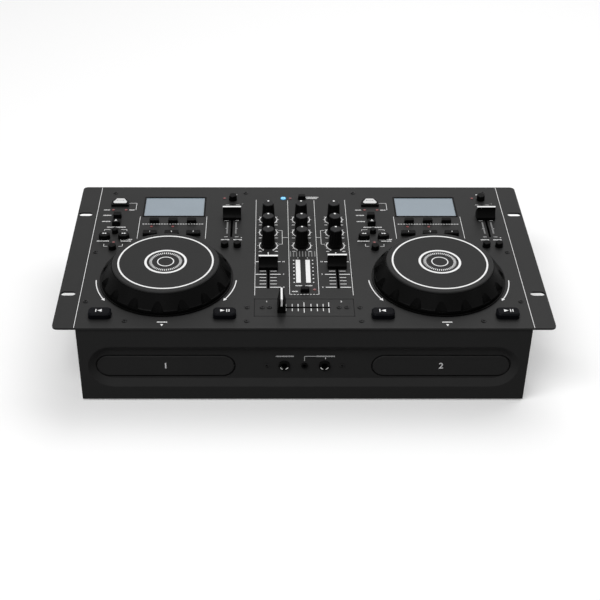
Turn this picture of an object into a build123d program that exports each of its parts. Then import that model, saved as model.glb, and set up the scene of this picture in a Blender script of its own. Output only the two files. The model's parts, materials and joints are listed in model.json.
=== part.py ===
from build123d import *
import math
import os

# A rack-mounted console with two disc players and a mixer between them.
# Millimetres: X to the user's right, Y away from the user, Z up.
# The origin lies on the floor under the middle of the top plate.

# ---------------------------------------------------------------- case
rack_width = 482.6
rack_depth = 265.9
plate_top = 90.0
plate_thickness = 2.0
plate_corner = 5.0
ear_slot_inset = 8.75
ear_slot_spacing_y = 150.0
ear_slot_length = 14.5
ear_slot_width = 7.1
body_width = 438.0
front_set_back = 1.0
rear_set_back = 8.5
sheet = 1.2
tab_reach = 12.0
tab_width = 10.0
foot_height = 2.0
foot_edge = 0.6
foot_radius = 9.0
foot_inset = 30.0
vent_length = 40.0
vent_width = 3.0
vent_pitch = 9.0
vents_in_row = 8

# ---------------------------------------------------------------- front panel
panel_thickness = 2.0
recess_width = 421.0
recess_height = 49.0
recess_middle = 42.1
recess_depth = 5.0
bevel_width = 7.0
door_opening_width = 136.5
door_opening_height = 25.7
door_middle = 40.1
door_gap = 1.1
door_thickness = 3.0
door_proud = 0.8
door_edge = 0.7
jack_middle = 40.5
large_jack_x = (-18.8, 20.7)
small_jack_x = 1.0
large_plug_radius = 3.2
small_plug_radius = 1.8
large_jack_radius = 5.6
small_jack_radius = 3.2
large_jack_depth = 26.0
small_jack_depth = 15.0
jack_nut_height = 1.6
jack_thread_step = 0.8
jack_hole_step = 0.5
jack_end_wall = 3.0
jack_nut_edge = 0.4
panel_screw_x = (-36.0, 37.9)

# ---------------------------------------------------------------- disc loaders
tray_middle_x = 135.1
tray_width = 128.0
tray_length = 152.0
tray_thickness = 5.5
tray_bottom = 36.5
tray_corner = 8.0
tray_travel = 135.0
disc_radius = 60.0
small_disc_radius = 40.0
disc_clearance = 0.6
disc_recess = 1.6
small_disc_recess = 0.9
disc_margin = 5.0
pickup_slot_width = 36.0
pickup_slot_length = 66.0
gear_module = 1.0
gear_teeth = 16
pressure_angle = 20.0
tooth_addendum = 0.8
tooth_dedendum = 1.2
tooth_backlash = 0.3
gear_height = 3.0
gear_under_tray = 0.4
gear_post_radius = 1.5
gear_from_door = 11.5
rack_pitch_line = 56.0
rack_width_back = 3.2
rack_end_margin = 4.0
rail_clearance = 0.3
rail_width = 4.0
rail_lip = 2.8
rail_lip_height = 1.8
loader_base_height = 21.0
loader_base_thickness = 2.0
loader_post_radius = 4.0
spindle_radius = 14.5
bridge_depth = 26.0
bridge_height = 2.5
clamp_radius = 15.0
clamp_over_tray = 1.5
rod_radius = 1.5
rod_spacing = 38.0
rod_length = 62.0
rod_height = 5.0
rod_block_width = 6.0
rod_block_depth = 3.0
rod_block_height = 8.0
turntable_height = 4.0
motor_radius = 11.0
sled_margin = 8.0
sled_depth = 22.0
sled_height = 8.0
sled_lift = 1.0
sled_bore_clearance = 0.1
lens_radius = 3.5
lens_height = 2.0
gearbox_radius = 8.0
gearbox_lift = 3.0

# ---------------------------------------------------------------- decks
deck_middle_x = 137.0
jog_y = -47.7
bezel_radius = 67.0
bezel_inner_radius = 30.0
bezel_height = 0.8
bezel_lip = 0.9
bezel_lip_height = 1.6
jog_radius = 65.0
jog_rim_height = 3.0
jog_rim_over_plate = 1.9
jog_top_radius = 54.4
jog_height = 19.8
jog_plate_thickness = 2.2
jog_plate_radius = 53.4
jog_wall = 3.4
jog_plate_edge = 0.8
dimple_count = 16
dimple_radius = 7.5
dimple_depth = 2.5
dimple_phase = -94.0
jog_shaft_radius = 4.0
jog_shaft_clearance = 0.06
jog_shaft_length = 31.0
jog_hub_radius = 10.0
jog_bush_radius = 8.0
jog_bush_height = 10.0
jog_hole_radius = 18.0
display_y = 90.6
display_width = 64.5
display_depth = 38.5
display_border = 1.4
display_corner = 1.5
display_proud = 0.4
display_sunk = 0.5
display_body = 6.0
usb_x = -60.0
usb_front_y = 90.6
usb_width = 19.3
usb_depth = 14.3
usb_height = 2.6
usb_lid_height = 0.7
usb_lid_border = 1.7
usb_socket_width = 13.2
usb_socket_depth = 5.8
usb_socket_length = 15.0
pitch_slot_x = 63.3
pitch_slot_y = 62.0
pitch_travel = 60.0
pitch_rest_y = 68.6

# ---------------------------------------------------------------- keys
key_gap = 0.3
key_float = 0.3
key_travel = 1.0
key_flange = 1.2
key_flange_height = 1.2
key_edge = 0.5
key_stem_side = 3.0
board_drop = 18.4
board_thickness = 1.6
switch_side = 6.0
switch_height = 4.0
pad_width = 22.0
pad_depth = 13.0
pad_height = 6.0
pad_corner = 3.8
pad_x = 60.3
pad_y = -112.1
pad_edge = 1.4

# Each key: x from the deck's middle, y, width, depth, height, corner radius.
deck_keys = {
    "cue_key": [(-pad_x, pad_y, pad_width, pad_depth, pad_height, pad_corner)],
    "play_key": [(pad_x, pad_y, pad_width, pad_depth, pad_height, pad_corner)],
    "select_key": [(-60.6, 68.8, 8.4, 6.4, 5.4, 1.0)],
    "eject_key": [(-60.6, 54.2, 8.4, 6.4, 5.4, 1.0)],
    "search_keys": [(-70.3, 27.2, 12.0, 7.6, 5.0, 3.8), (-50.0, 27.2, 12.0, 7.6, 5.0, 3.8),
                    (-60.2, 38.0, 6.6, 6.6, 5.0, 3.3)],
    "jog_mode_key": [(-60.0, 6.5, 8.0, 8.0, 5.0, 4.0)],
    "display_keys": [(x, 58.6, 10.0, 5.4, 4.6, 1.0) for x in (-20.0, 0.0, 20.0)],
    "loop_keys": [(x, 34.0, 14.8, 6.6, 4.0, 1.0) for x in (-23.0, 0.0, 23.0)],
    "pitch_keys": [(63.4, 106.2, 8.6, 8.6, 6.0, 4.3), (56.9, 11.5, 8.0, 8.0, 5.4, 4.0),
                   (70.0, 11.5, 8.0, 8.0, 5.4, 4.0)],
}

# ---------------------------------------------------------------- mixer
mixer_x = 0.6
knob_pitch_x = 35.1
knob_pitch_y = 25.9
knob_middle_y = 38.1
knob_base_radius = 7.5
knob_grip_radius = 7.0
knob_top_radius = 6.0
knob_base_height = 3.0
knob_height = 21.0
knob_over_plate = 0.6
knob_cap_height = 1.0
knob_cap_border = 0.25
flute_count = 12
flute_radius = 1.1
flute_depth = 0.55
pot_shaft_radius = 3.0
pot_shaft_clearance = 0.1
pot_side = 11.0
pot_height = 8.0
pot_bush_radius = 3.9
channel_slot_y = -41.2
channel_travel = 45.0
left_channel_rest_y = -27.4
right_channel_rest_y = -25.4
crossfader_y = -98.9
crossfader_travel = 45.0
crossfader_rest_x = -21.5
crossfader_plate_width = 97.9
crossfader_plate_depth = 29.5
crossfader_plate_gap = 0.35
crossfader_bracket_margin = 7.0
mixer_keys = {
    "source_key": [(2.5, 108.2, 8.0, 5.0, 4.6, 1.0)],
    "cue_select_key": [(2.0, -70.8, 8.4, 5.4, 4.6, 1.0)],
}
meter_x = (-4.1, 5.9)
meter_y = -35.4
meter_width = 4.6
meter_length = 41.4
meter_flange = 1.5
meter_sunk = 3.2

# ---------------------------------------------------------------- faders
slot_width = 2.4
stem_thickness = 1.2
stem_length = 4.0
stem_depth = 8.0
stem_play = 1.0
fader_body_width = 11.0
fader_body_height = 11.0
fader_body_margin = 5.0
fader_channel_width = 5.0
cap_length = 19.6
cap_depth = 13.4
cap_height = 13.0
cap_over_plate = 0.6
cap_crest = 3.4
cap_skirt = 3.0
cap_hollow = 1.3
cross_cap_depth = 20.0
cross_cap_width = 8.4
cross_cap_crest = 4.4
cross_cap_height = 16.0

# ---------------------------------------------------------------- lights
lamp_radius = 1.5
lamp_gap = 0.1
lamp_proud = 0.4
lamp_depth = 7.0
ring_lamp_radius = 3.0
ring_lamp = (-18.0, 108.4)
deck_lamps = [(-22.5, 49.5), (0.3, 49.5), (-66.5, 83.7), (-52.7, 83.7), (-60.0, 18.5), (54.0, 108.5)]
mixer_lamps = [(-10.3, 108.4), (11.6, -68.5)]

# ---------------------------------------------------------------- rear
rca_columns_x = (-165.0, -135.0, -105.0, -75.0)
rca_heights = (58.0, 36.0)
rca_radius = 4.15
rca_bore_radius = 1.6
rca_length = 8.3
rca_plate_width = 20.0
rca_plate_height = 42.0
rca_plate_thickness = 1.2
rca_body_depth = 9.0
inlet_x = 165.0
inlet_z = 46.0
inlet_cavity_width = 24.2
inlet_cavity_height = 16.4
inlet_cavity_depth = 16.0
inlet_wall = 1.5
inlet_flange_width = 50.0
inlet_flange_height = 24.0
inlet_flange_thickness = 2.0
inlet_pin_length = 10.0
inlet_pin_thickness = 2.0
inlet_pin_height = 4.0
inlet_pin_spacing = 7.0
inlet_earth_rise = 3.0
rocker_x = 115.0
rocker_width = 10.0
rocker_radius = 8.5
rocker_gap = 0.3
rocker_tilt = 7.0
rocker_frame_width = 15.0
rocker_frame_height = 21.0
rocker_frame_thickness = 1.8
rocker_body_depth = 12.0
cutout_gap = 0.3

# ---------------------------------------------------------------- screws
screw_head_radius = 2.6
screw_head_height = 0.8
screw_shank_radius = 1.5
screw_hole_radius = 1.7
screw_shank_length = 5.0
side_screw_radius = 3.2
side_screw_height = 1.5
side_screw_z = (79.0, 22.0)
side_screw_end_margin = 12.0
rear_row_x = (204.5, 59.7)
front_row_x = (172.9, 55.3)
side_row_y = (-0.5, -89.0)
rear_row_inset = 4.4
front_row_inset = 10.5
side_row_inset = 5.1
bracket_screw_x = 55.0
crossfader_screws_x = (-40.2, -33.4, 34.7, 42.3)

# ---------------------------------------------------------------- inner boards
board_post_inset = 3.5
board_post_radius = 2.5
deck_board_width = 152.0
mixer_board_width = 108.0
board_front_y = -126.0
board_rear_y = 108.0
board_rear_post_y = 104.0
deck_front_post_y = -100.0
mixer_front_post_y = -76.0
jog_board_hole = 12.0
power_board_width = 90.0
power_board_depth = 60.0
power_board_z = 12.0
transformer = (34.0, 28.0, 24.0)
capacitor_radius = 6.0
power_board_gap = 14.0
capacitor_count = 2
capacitor_pitch = 16.0
capacitor_height = 18.0

# ---------------------------------------------------------------- derived places
plate_underside = plate_top - plate_thickness
board_top = plate_underside - board_drop
ear_slot_spacing_x = rack_width - 2 * ear_slot_inset
body_front = -rack_depth / 2 + front_set_back
body_rear = rack_depth / 2 - rear_set_back
panel_back = body_front + panel_thickness
floor_top = foot_height + sheet
recess_floor = body_front + recess_depth
panel_pressed_back = recess_floor + panel_thickness
door_front = recess_floor - door_proud
door_back = door_front + door_thickness
tray_rear = door_back + tray_length
disc_middle_y = door_back + disc_margin + disc_radius + disc_clearance
tray_top = tray_bottom + tray_thickness
gear_radius = gear_module * gear_teeth / 2
gear_y = door_back + gear_from_door
gear_x = rack_pitch_line - gear_radius
gear_top = tray_bottom - gear_under_tray
rail_front = panel_pressed_back + 2.0
rail_rear = tray_rear + 3.0
jog_top = plate_top + jog_height
jog_plate_bottom = jog_top - jog_plate_thickness
jog_rim_bottom = plate_top + jog_rim_over_plate
decks = {"left": -deck_middle_x, "right": deck_middle_x}
trays = {"left": -tray_middle_x, "right": tray_middle_x}
knob_columns = {"left": mixer_x - knob_pitch_x, "middle": mixer_x, "right": mixer_x + knob_pitch_x}
knob_rows = {"high": knob_middle_y + knob_pitch_y, "mid": knob_middle_y,
             "low": knob_middle_y - knob_pitch_y}
channel_columns = {"left": mixer_x - knob_pitch_x, "right": mixer_x + knob_pitch_x}
slot_run = stem_length + 2 * stem_play
rear_row_y = body_rear - rear_row_inset
front_row_y = body_front + front_row_inset
side_row_x = body_width / 2 - side_row_inset
rear_screws = [(sign * x, rear_row_y) for sign in (-1, 1) for x in rear_row_x]
front_screws = [(sign * x, front_row_y) for sign in (-1, 1) for x in front_row_x]
side_screws = [(sign * side_row_x, y) for sign in (-1, 1) for y in side_row_y]
bracket_screws = [(sign * bracket_screw_x, crossfader_y) for sign in (-1, 1)]
plate_screws = rear_screws + front_screws + side_screws + bracket_screws


# ---------------------------------------------------------------- shapes used by several pieces
def outline(width, depth, corner=0.0):
    """A flat outline: a circle, a slot, a rounded or a plain rectangle, by its corner radius."""
    if corner <= 0:
        return Rectangle(width, depth)
    if 2 * corner < min(width, depth) - 0.01:
        return RectangleRounded(width, depth, corner)
    if abs(width - depth) < 0.01:
        return Circle(width / 2)
    if width > depth:
        return SlotOverall(width, depth)
    return SlotOverall(depth, width, rotation=90)


def prism(x, y, low, high, width, depth, corner=0.0):
    """An upright prism between two heights."""
    return extrude(Pos(x, y, low) * outline(width, depth, corner), amount=high - low)


def pillar(x, y, low, high, radius, bore=0.0):
    """An upright round bar, or a tube when it has a bore."""
    section = Circle(radius)
    if bore > 0:
        section -= Circle(bore)
    return extrude(Pos(x, y, low) * section, amount=high - low)


def front_bar(x, z, front, back, radius, bore=0.0):
    """A round bar along Y between two places, or a tube when it has a bore."""
    section = Circle(radius)
    if bore > 0:
        section -= Circle(bore)
    facing_rear = Plane(origin=(x, front, z), x_dir=(1, 0, 0), z_dir=(0, 1, 0))
    return extrude(facing_rear * section, amount=back - front)


def front_prism(x, z, front, back, width, height, corner=0.0):
    """A prism along Y between two places, with its outline upright."""
    facing_rear = Plane(origin=(x, front, z), x_dir=(1, 0, 0), z_dir=(0, 1, 0))
    return extrude(facing_rear * outline(width, height, corner), amount=back - front)


def side_bar(start, end, y, z, radius):
    """A round bar along X between two places."""
    facing_right = Plane(origin=(start, y, z), x_dir=(0, 1, 0), z_dir=(1, 0, 0))
    return extrude(facing_right * Circle(radius), amount=end - start)


def joined(pieces):
    """The separate solids of one node, kept apart."""
    return Compound(children=[solid for piece in pieces for solid in piece.solids()])


# ---------------------------------------------------------------- lists of the openings in the top plate
def key_openings():
    """Every key's place: x, y, width, depth and corner, on both decks and the mixer."""
    places = []
    for deck_x in decks.values():
        for keys in deck_keys.values():
            places += [(deck_x + x, y, w, d, c) for x, y, w, d, h, c in keys]
    for keys in mixer_keys.values():
        places += [(x, y, w, d, c) for x, y, w, d, h, c in keys]
    return places


def upright_faders():
    """Each upright fader: the middle of its slot and its travel."""
    faders = [(deck_x + pitch_slot_x, pitch_slot_y, pitch_travel) for deck_x in decks.values()]
    faders += [(x, channel_slot_y, channel_travel) for x in channel_columns.values()]
    return faders


def lamp_places():
    """Every indicator lamp's middle and radius."""
    lamps = [(deck_x + x, y, lamp_radius) for deck_x in decks.values() for x, y in deck_lamps]
    lamps += [(x, y, lamp_radius) for x, y in mixer_lamps]
    lamps.append((*ring_lamp, ring_lamp_radius))
    return lamps


# ---------------------------------------------------------------- case
def make_top_plate():
    """The steel plate that carries everything, with ears for a rack."""
    face = RectangleRounded(rack_width, rack_depth, plate_corner)
    holes = []
    for side_x in (-1, 1):
        for side_y in (-1, 1):
            ear = Pos(side_x * ear_slot_spacing_x / 2, side_y * ear_slot_spacing_y / 2)
            holes.append(ear * SlotOverall(ear_slot_length, ear_slot_width))
    for x, y, width, depth, corner in key_openings():
        grown = corner + key_gap if corner else 0
        holes.append(Pos(x, y) * outline(width + 2 * key_gap, depth + 2 * key_gap, grown))
    for x, y, travel in upright_faders():
        holes.append(Pos(x, y) * Rectangle(slot_width, travel + slot_run))
    for x, y, radius in lamp_places():
        holes.append(Pos(x, y) * Circle(radius + lamp_gap))
    for deck_x in decks.values():
        holes.append(Pos(deck_x, jog_y) * Circle(jog_hole_radius))
        window_width = display_width + 2 * display_border + 2 * cutout_gap
        window_depth = display_depth + 2 * display_border + 2 * cutout_gap
        holes.append(Pos(deck_x, display_y) * Rectangle(window_width, window_depth))
        socket_y = usb_front_y + usb_depth / 2
        socket = Rectangle(usb_socket_width + 2 * cutout_gap, usb_socket_depth + 2 * cutout_gap)
        holes.append(Pos(deck_x + usb_x, socket_y) * socket)
    for x in knob_columns.values():
        for y in knob_rows.values():
            holes.append(Pos(x, y) * Circle(pot_bush_radius + lamp_gap))
    for x in meter_x:
        window = outline(meter_width + 2 * lamp_gap, meter_length + 2 * lamp_gap)
        holes.append(Pos(x, meter_y) * window)
    holes.append(Pos(mixer_x, crossfader_y) * Rectangle(crossfader_plate_width, crossfader_plate_depth))
    holes += [Pos(x, y) * Circle(screw_hole_radius) for x, y in plate_screws]
    return extrude(Pos(0, 0, plate_underside) * (face - holes), amount=plate_thickness)


def tab(x, y, width, depth):
    """A tab folded under the plate, for one screw."""
    return prism(x, y, plate_underside - sheet, plate_underside, width, depth)


def make_chassis_tub():
    """Floor, sides and rear wall folded from one sheet, with tabs under the plate."""
    length = body_rear - panel_back
    middle_y = (body_rear + panel_back) / 2
    tub = prism(0, middle_y, foot_height, plate_underside, body_width, length)
    tub -= prism(0, middle_y - sheet, floor_top, plate_underside + 1, body_width - 2 * sheet, length)
    for x, y in side_screws:
        tub += tab(math.copysign((body_width - tab_reach) / 2, x), y, tab_reach, tab_width)
    for x, y in rear_screws:
        tub += tab(x, body_rear - tab_reach / 2, tab_width, tab_reach)
    cuts = []
    for side in (-1, 1):
        for row_y in (-50.0, 50.0):
            for index in range(vents_in_row):
                x = side * tray_middle_x + (index - (vents_in_row - 1) / 2) * vent_pitch
                cuts.append(prism(x, row_y, foot_height - 1, floor_top + 1, vent_width, vent_length,
                                  vent_width / 2))
    for x in rca_columns_x:
        for z in rca_heights:
            cuts.append(front_bar(x, z, body_rear - 2 * sheet, body_rear + 1, rca_radius + 1))
    inlet_body_width = inlet_cavity_width + 2 * inlet_wall + 2 * cutout_gap
    inlet_body_height = inlet_cavity_height + 2 * inlet_wall + 2 * cutout_gap
    cuts.append(front_prism(inlet_x, inlet_z, body_rear - 2 * sheet, body_rear + 1,
                            inlet_body_width, inlet_body_height))
    rocker_body_width = rocker_width + 2 * rocker_gap + 2 * inlet_wall - 1 + 2 * cutout_gap
    rocker_body_height = 2 * (rocker_radius + rocker_gap) + 1 + 2 * cutout_gap
    cuts.append(front_prism(rocker_x, inlet_z, body_rear - 2 * sheet, body_rear + 1,
                            rocker_body_width, rocker_body_height))
    for x, y in side_screws + rear_screws:
        cuts.append(pillar(x, y, plate_underside - 2 * sheet, plate_underside + 1, screw_hole_radius))
    for side in (-1, 1):
        for y in side_screw_places():
            for z in side_screw_z:
                outer = side * (body_width / 2 + 1)
                inner = side * (body_width / 2 - sheet - 1)
                cuts.append(side_bar(min(outer, inner), max(outer, inner), y, z, screw_hole_radius))
    return tub - cuts


def side_screw_places():
    """The two places along Y of the screws in each side wall."""
    return (panel_back + side_screw_end_margin, body_rear - side_screw_end_margin)


def recess_form(start):
    """The pressed recess as a solid: a stadium that narrows towards the rear."""
    mouth = Plane(origin=(0, start, recess_middle), x_dir=(1, 0, 0), z_dir=(0, 1, 0))
    floor = Plane(origin=(0, start + recess_depth, recess_middle), x_dir=(1, 0, 0), z_dir=(0, 1, 0))
    floor_outline = SlotOverall(recess_width - 2 * bevel_width, recess_height - 2 * bevel_width)
    return loft([mouth * SlotOverall(recess_width, recess_height), floor * floor_outline], ruled=True)


def make_front_panel():
    """The sheet across the front, with one long recess pressed back into it."""
    middle_z = (foot_height + plate_underside) / 2
    height = plate_underside - foot_height
    panel = front_prism(0, middle_z, body_front, panel_back, body_width, height)
    panel += recess_form(panel_back)
    panel -= recess_form(body_front)
    for x, y in front_screws:
        panel += tab(x, panel_back + tab_reach / 2, tab_width, tab_reach)
    cuts = []
    for tray_x in trays.values():
        cuts.append(front_prism(tray_x, door_middle, body_front, panel_pressed_back + 1,
                                door_opening_width, door_opening_height, door_opening_height / 2))
    for x in large_jack_x:
        cuts.append(front_bar(x, jack_middle, body_front, panel_pressed_back + 1,
                              large_jack_radius - jack_hole_step))
    cuts.append(front_bar(small_jack_x, jack_middle, body_front, panel_pressed_back + 1,
                          small_jack_radius - jack_hole_step))
    for x in panel_screw_x:
        cuts.append(front_bar(x, jack_middle, body_front, panel_pressed_back + 1, screw_hole_radius))
    for x, y in front_screws:
        cuts.append(pillar(x, y, plate_underside - 2 * sheet, plate_underside + 1, screw_hole_radius))
    return panel - cuts


def make_feet():
    """Four thin rubber discs under the floor."""
    feet = []
    for side in (-1, 1):
        for y in (body_front + foot_inset, body_rear - foot_inset):
            foot = pillar(side * (body_width / 2 - foot_inset), y, 0, foot_height, foot_radius)
            feet.append(chamfer(foot.edges().group_by(Axis.Z)[0], foot_edge))
    return joined(feet)


def turned_screw(head_radius, head_height, shank_length):
    """A screw pointing down from z = 0: a low head on a plain shank."""
    profile = Polyline((0, -shank_length), (screw_shank_radius, -shank_length), (screw_shank_radius, 0),
                       (head_radius, 0), (head_radius, head_height / 2), (head_radius * 0.7, head_height),
                       (0, head_height), close=True)
    return revolve(make_face(Plane.XZ * profile), Axis.Z)


def make_screws():
    """The screws that show: in the plate, the crossfader plate, the sides and the recess."""
    screws = []
    plate_screw = turned_screw(screw_head_radius, screw_head_height, screw_shank_length)
    bracket_screw = turned_screw(screw_head_radius, screw_head_height, plate_thickness + sheet)
    screws += [Pos(x, y, plate_top) * plate_screw for x, y in plate_screws]
    for x in crossfader_screws_x:
        screws.append(Pos(x, crossfader_y, plate_top) * bracket_screw)
    side_screw = turned_screw(side_screw_radius, side_screw_height, screw_shank_length)
    for side in (-1, 1):
        for y in side_screw_places():
            for z in side_screw_z:
                screws.append(Pos(side * body_width / 2, y, z) * Rot(0, side * 90, 0) * side_screw)
    for x in panel_screw_x:
        screws.append(Pos(x, recess_floor, jack_middle) * Rot(90, 0, 0) * plate_screw)
    return joined(screws)


# ---------------------------------------------------------------- disc loaders
def involute_point(base, roll):
    """A point on the involute of a circle, unrolled by an angle in radians."""
    x = base * (math.cos(roll) + roll * math.sin(roll))
    y = base * (math.sin(roll) - roll * math.cos(roll))
    return x, y


def make_gear(tray_x):
    """The pinion that drives the tray: involute teeth round a bored hub."""
    base = gear_radius * math.cos(math.radians(pressure_angle))
    tip = gear_radius + tooth_addendum * gear_module
    root = gear_radius - tooth_dedendum * gear_module
    involute = math.tan(math.radians(pressure_angle)) - math.radians(pressure_angle)
    half_tooth = math.pi / 2 / gear_teeth - tooth_backlash / 2 / gear_radius
    turn = half_tooth + involute
    flank = []
    for radius in (base, (base + tip) / 2, tip):
        x, y = involute_point(base, math.sqrt((radius / base) ** 2 - 1))
        angle = turn - math.atan2(y, x)
        flank.append((radius * math.cos(angle), radius * math.sin(angle)))
    root_x = root * math.cos(turn)
    root_y = root * math.sin(turn)
    mirror = [(x, -y) for x, y in flank]
    upper = ThreePointArc(*flank)
    lower = ThreePointArc(*mirror)
    edges = [Line((0, 0), (root_x, root_y)), Line((root_x, root_y), flank[0]), upper,
             Line(flank[2], mirror[2]), lower, Line(mirror[0], (root_x, -root_y)),
             Line((root_x, -root_y), (0, 0))]
    tooth = make_face(Curve(children=edges))
    wheel = Circle(root)
    wheel += [Rot(0, 0, index * 360 / gear_teeth) * tooth for index in range(gear_teeth)]
    wheel -= Circle(gear_post_radius + jog_shaft_clearance)
    low = gear_top - gear_height
    hub = Circle(gear_post_radius + 2.5) - Circle(gear_post_radius + jog_shaft_clearance)
    gear = extrude(Pos(0, 0, low) * wheel, amount=gear_height)
    hub_low = loader_base_height + loader_base_thickness + rail_clearance
    gear += extrude(Pos(0, 0, hub_low) * hub, amount=low - hub_low)
    return Pos(tray_x + gear_x, gear_y, 0) * gear


def tray_rack():
    """The toothed strip under the tray's right side, at its place in the tray's own frame."""
    pitch = math.pi * gear_module
    slope = math.tan(math.radians(pressure_angle))
    tip_x = rack_pitch_line - tooth_addendum * gear_module
    root_x = rack_pitch_line + tooth_dedendum * gear_module
    half_pitch_line = pitch / 4
    half_tip = half_pitch_line - tooth_addendum * gear_module * slope
    half_root = half_pitch_line + tooth_dedendum * gear_module * slope
    low = gear_top - gear_height
    first_y = door_back + rack_end_margin
    last_y = tray_rear - rack_end_margin
    strip = prism(root_x + rack_width_back / 2, (first_y + last_y) / 2, low, tray_bottom,
                  rack_width_back, last_y - first_y)
    before = math.floor((gear_y - first_y) / pitch - 0.5)
    after = math.floor((last_y - gear_y) / pitch - 0.5)
    teeth = []
    for index in range(-before, after):
        y = gear_y + (index + 0.5) * pitch
        corners = [(root_x + 0.01, y - half_root), (tip_x, y - half_tip), (tip_x, y + half_tip),
                   (root_x + 0.01, y + half_root)]
        tooth = make_face(Polyline(*corners, close=True))
        teeth.append(extrude(Pos(0, 0, low) * tooth, amount=gear_height))
    return strip + teeth


def make_disc_tray(tray_x):
    """The sliding tray: two disc recesses, a slot for the pickup and a rack below."""
    tray = prism(0, (door_back + tray_rear) / 2, tray_bottom, tray_top, tray_width, tray_length,
                 tray_corner)
    tray += prism(0, door_back + tray_corner, tray_bottom, tray_top, tray_width, 2 * tray_corner)
    tray -= pillar(0, disc_middle_y, tray_top - disc_recess, tray_top + 1, disc_radius + disc_clearance)
    deep = tray_top - disc_recess - small_disc_recess
    tray -= pillar(0, disc_middle_y, deep, tray_top + 1, small_disc_radius + disc_clearance)
    slot_y = disc_middle_y - pickup_slot_width / 2 + pickup_slot_length / 2
    tray -= prism(0, slot_y, tray_bottom - 1, tray_top + 1, pickup_slot_width, pickup_slot_length,
                  pickup_slot_width / 2)
    tray += tray_rack()
    return Pos(tray_x, 0, 0) * tray


def make_tray_door(tray_x):
    """The rounded door on the tray's front edge."""
    width = door_opening_width - 2 * door_gap
    height = door_opening_height - 2 * door_gap
    door = front_prism(tray_x, door_middle, door_front, door_back, width, height, height / 2)
    return fillet(door.edges().group_by(Axis.Y)[0], door_edge)


def make_disc_loader(tray_x):
    """The frame that guides one tray, with its spindle, pickup and clamp."""
    base_top = loader_base_height + loader_base_thickness
    length = rail_rear - rail_front
    middle_y = (rail_front + rail_rear) / 2
    rail_inner = tray_width / 2 + rail_clearance
    outer_width = 2 * (rail_inner + rail_width)
    frame = prism(tray_x, middle_y, loader_base_height, base_top, outer_width, length)
    ledge_top = tray_bottom - rail_clearance
    lip_low = tray_top + rail_clearance
    lip_top = lip_low + rail_lip_height
    for side in (-1, 1):
        rail_x = tray_x + side * (rail_inner + rail_width / 2)
        frame += prism(rail_x, middle_y, base_top, lip_top, rail_width, length)
        ledge_x = tray_x + side * (rail_inner - rail_lip / 2)
        frame += prism(ledge_x, middle_y, base_top, ledge_top, rail_lip, length)
        frame += prism(ledge_x, middle_y, lip_low, lip_top, rail_lip, length)
    pieces = [frame]
    for side in (-1, 1):
        for y in (rail_front + 2 * loader_post_radius, rail_rear - 2 * loader_post_radius):
            pieces.append(pillar(tray_x + side * rail_inner, y, floor_top, loader_base_height,
                                 loader_post_radius))
    spindle_top = tray_bottom - rail_clearance
    turntable_low = spindle_top - turntable_height
    motor = pillar(tray_x, disc_middle_y, base_top, turntable_low, motor_radius)
    motor += pillar(tray_x, disc_middle_y, turntable_low, spindle_top, spindle_radius)
    pieces.append(motor)
    rods_front = disc_middle_y + spindle_radius + 2 * sled_lift
    rods_rear = rods_front + rod_length
    rod_z = base_top + rod_height
    for side in (-1, 1):
        rod_x = tray_x + side * rod_spacing / 2
        pieces.append(front_bar(rod_x, rod_z, rods_front + rod_block_depth, rods_rear - rod_block_depth,
                                rod_radius))
        for y in (rods_front + rod_block_depth / 2, rods_rear - rod_block_depth / 2):
            block_top = base_top + rod_block_height
            pieces.append(prism(rod_x, y, base_top, block_top, rod_block_width, rod_block_depth))
    sled_y = rods_front + rod_length / 2
    sled_low = base_top + sled_lift
    sled_top = sled_low + sled_height
    sled = prism(tray_x, sled_y, sled_low, sled_top, rod_spacing + sled_margin, sled_depth)
    for side in (-1, 1):
        rod_x = tray_x + side * rod_spacing / 2
        sled -= front_bar(rod_x, rod_z, sled_y - sled_depth, sled_y + sled_depth,
                          rod_radius + sled_bore_clearance)
    sled += pillar(tray_x, sled_y, sled_top, sled_top + lens_height, lens_radius)
    pieces.append(sled)
    bridge_top = lip_top + bridge_height
    bridge = prism(tray_x, disc_middle_y, lip_top, bridge_top, outer_width, bridge_depth)
    bridge += pillar(tray_x, disc_middle_y, tray_top + clamp_over_tray, lip_top, clamp_radius)
    pieces.append(bridge)
    post = pillar(tray_x + gear_x, gear_y, base_top, gear_top, gear_post_radius)
    pieces.append(post)
    gearbox_low = floor_top + gearbox_lift
    pieces.append(pillar(tray_x + gear_x, gear_y, gearbox_low, loader_base_height, gearbox_radius))
    return pieces


# ---------------------------------------------------------------- jog wheels
def make_jog_skirt(deck_x):
    """The rubber ring of the wheel: a cone on a low rim, with finger dimples all round."""
    rim_top = jog_rim_bottom + jog_rim_height
    top = jog_plate_bottom
    outer = [(jog_radius, jog_rim_bottom), (jog_radius, rim_top), (jog_radius - 0.8, rim_top + 0.6),
             (jog_top_radius, top)]
    inner = [(jog_top_radius - 2.5 * jog_wall, top), (jog_top_radius - 2.5 * jog_wall, top - jog_wall),
             (jog_top_radius - jog_wall, top - jog_wall), (jog_radius - jog_wall, jog_rim_bottom)]
    section = make_face(Plane.XZ * Polyline(*outer, *inner, close=True))
    skirt = revolve(section, Axis.Z)
    rise = top - rim_top
    run = jog_radius - 0.8 - jog_top_radius
    cutter_tilt = math.degrees(math.atan2(run, rise)) * 0.55
    centre = jog_radius - 0.8 - dimple_depth + dimple_radius
    cutter = Pos(centre, 0, rim_top + 0.6) * Rot(0, -cutter_tilt, 0) * Pos(0, 0, rise / 2)
    cutter = cutter * Cylinder(dimple_radius, rise)
    cutters = [Rot(0, 0, dimple_phase + index * 360 / dimple_count) * cutter
               for index in range(dimple_count)]
    return Pos(deck_x, jog_y, 0) * (skirt - cutters)


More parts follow.
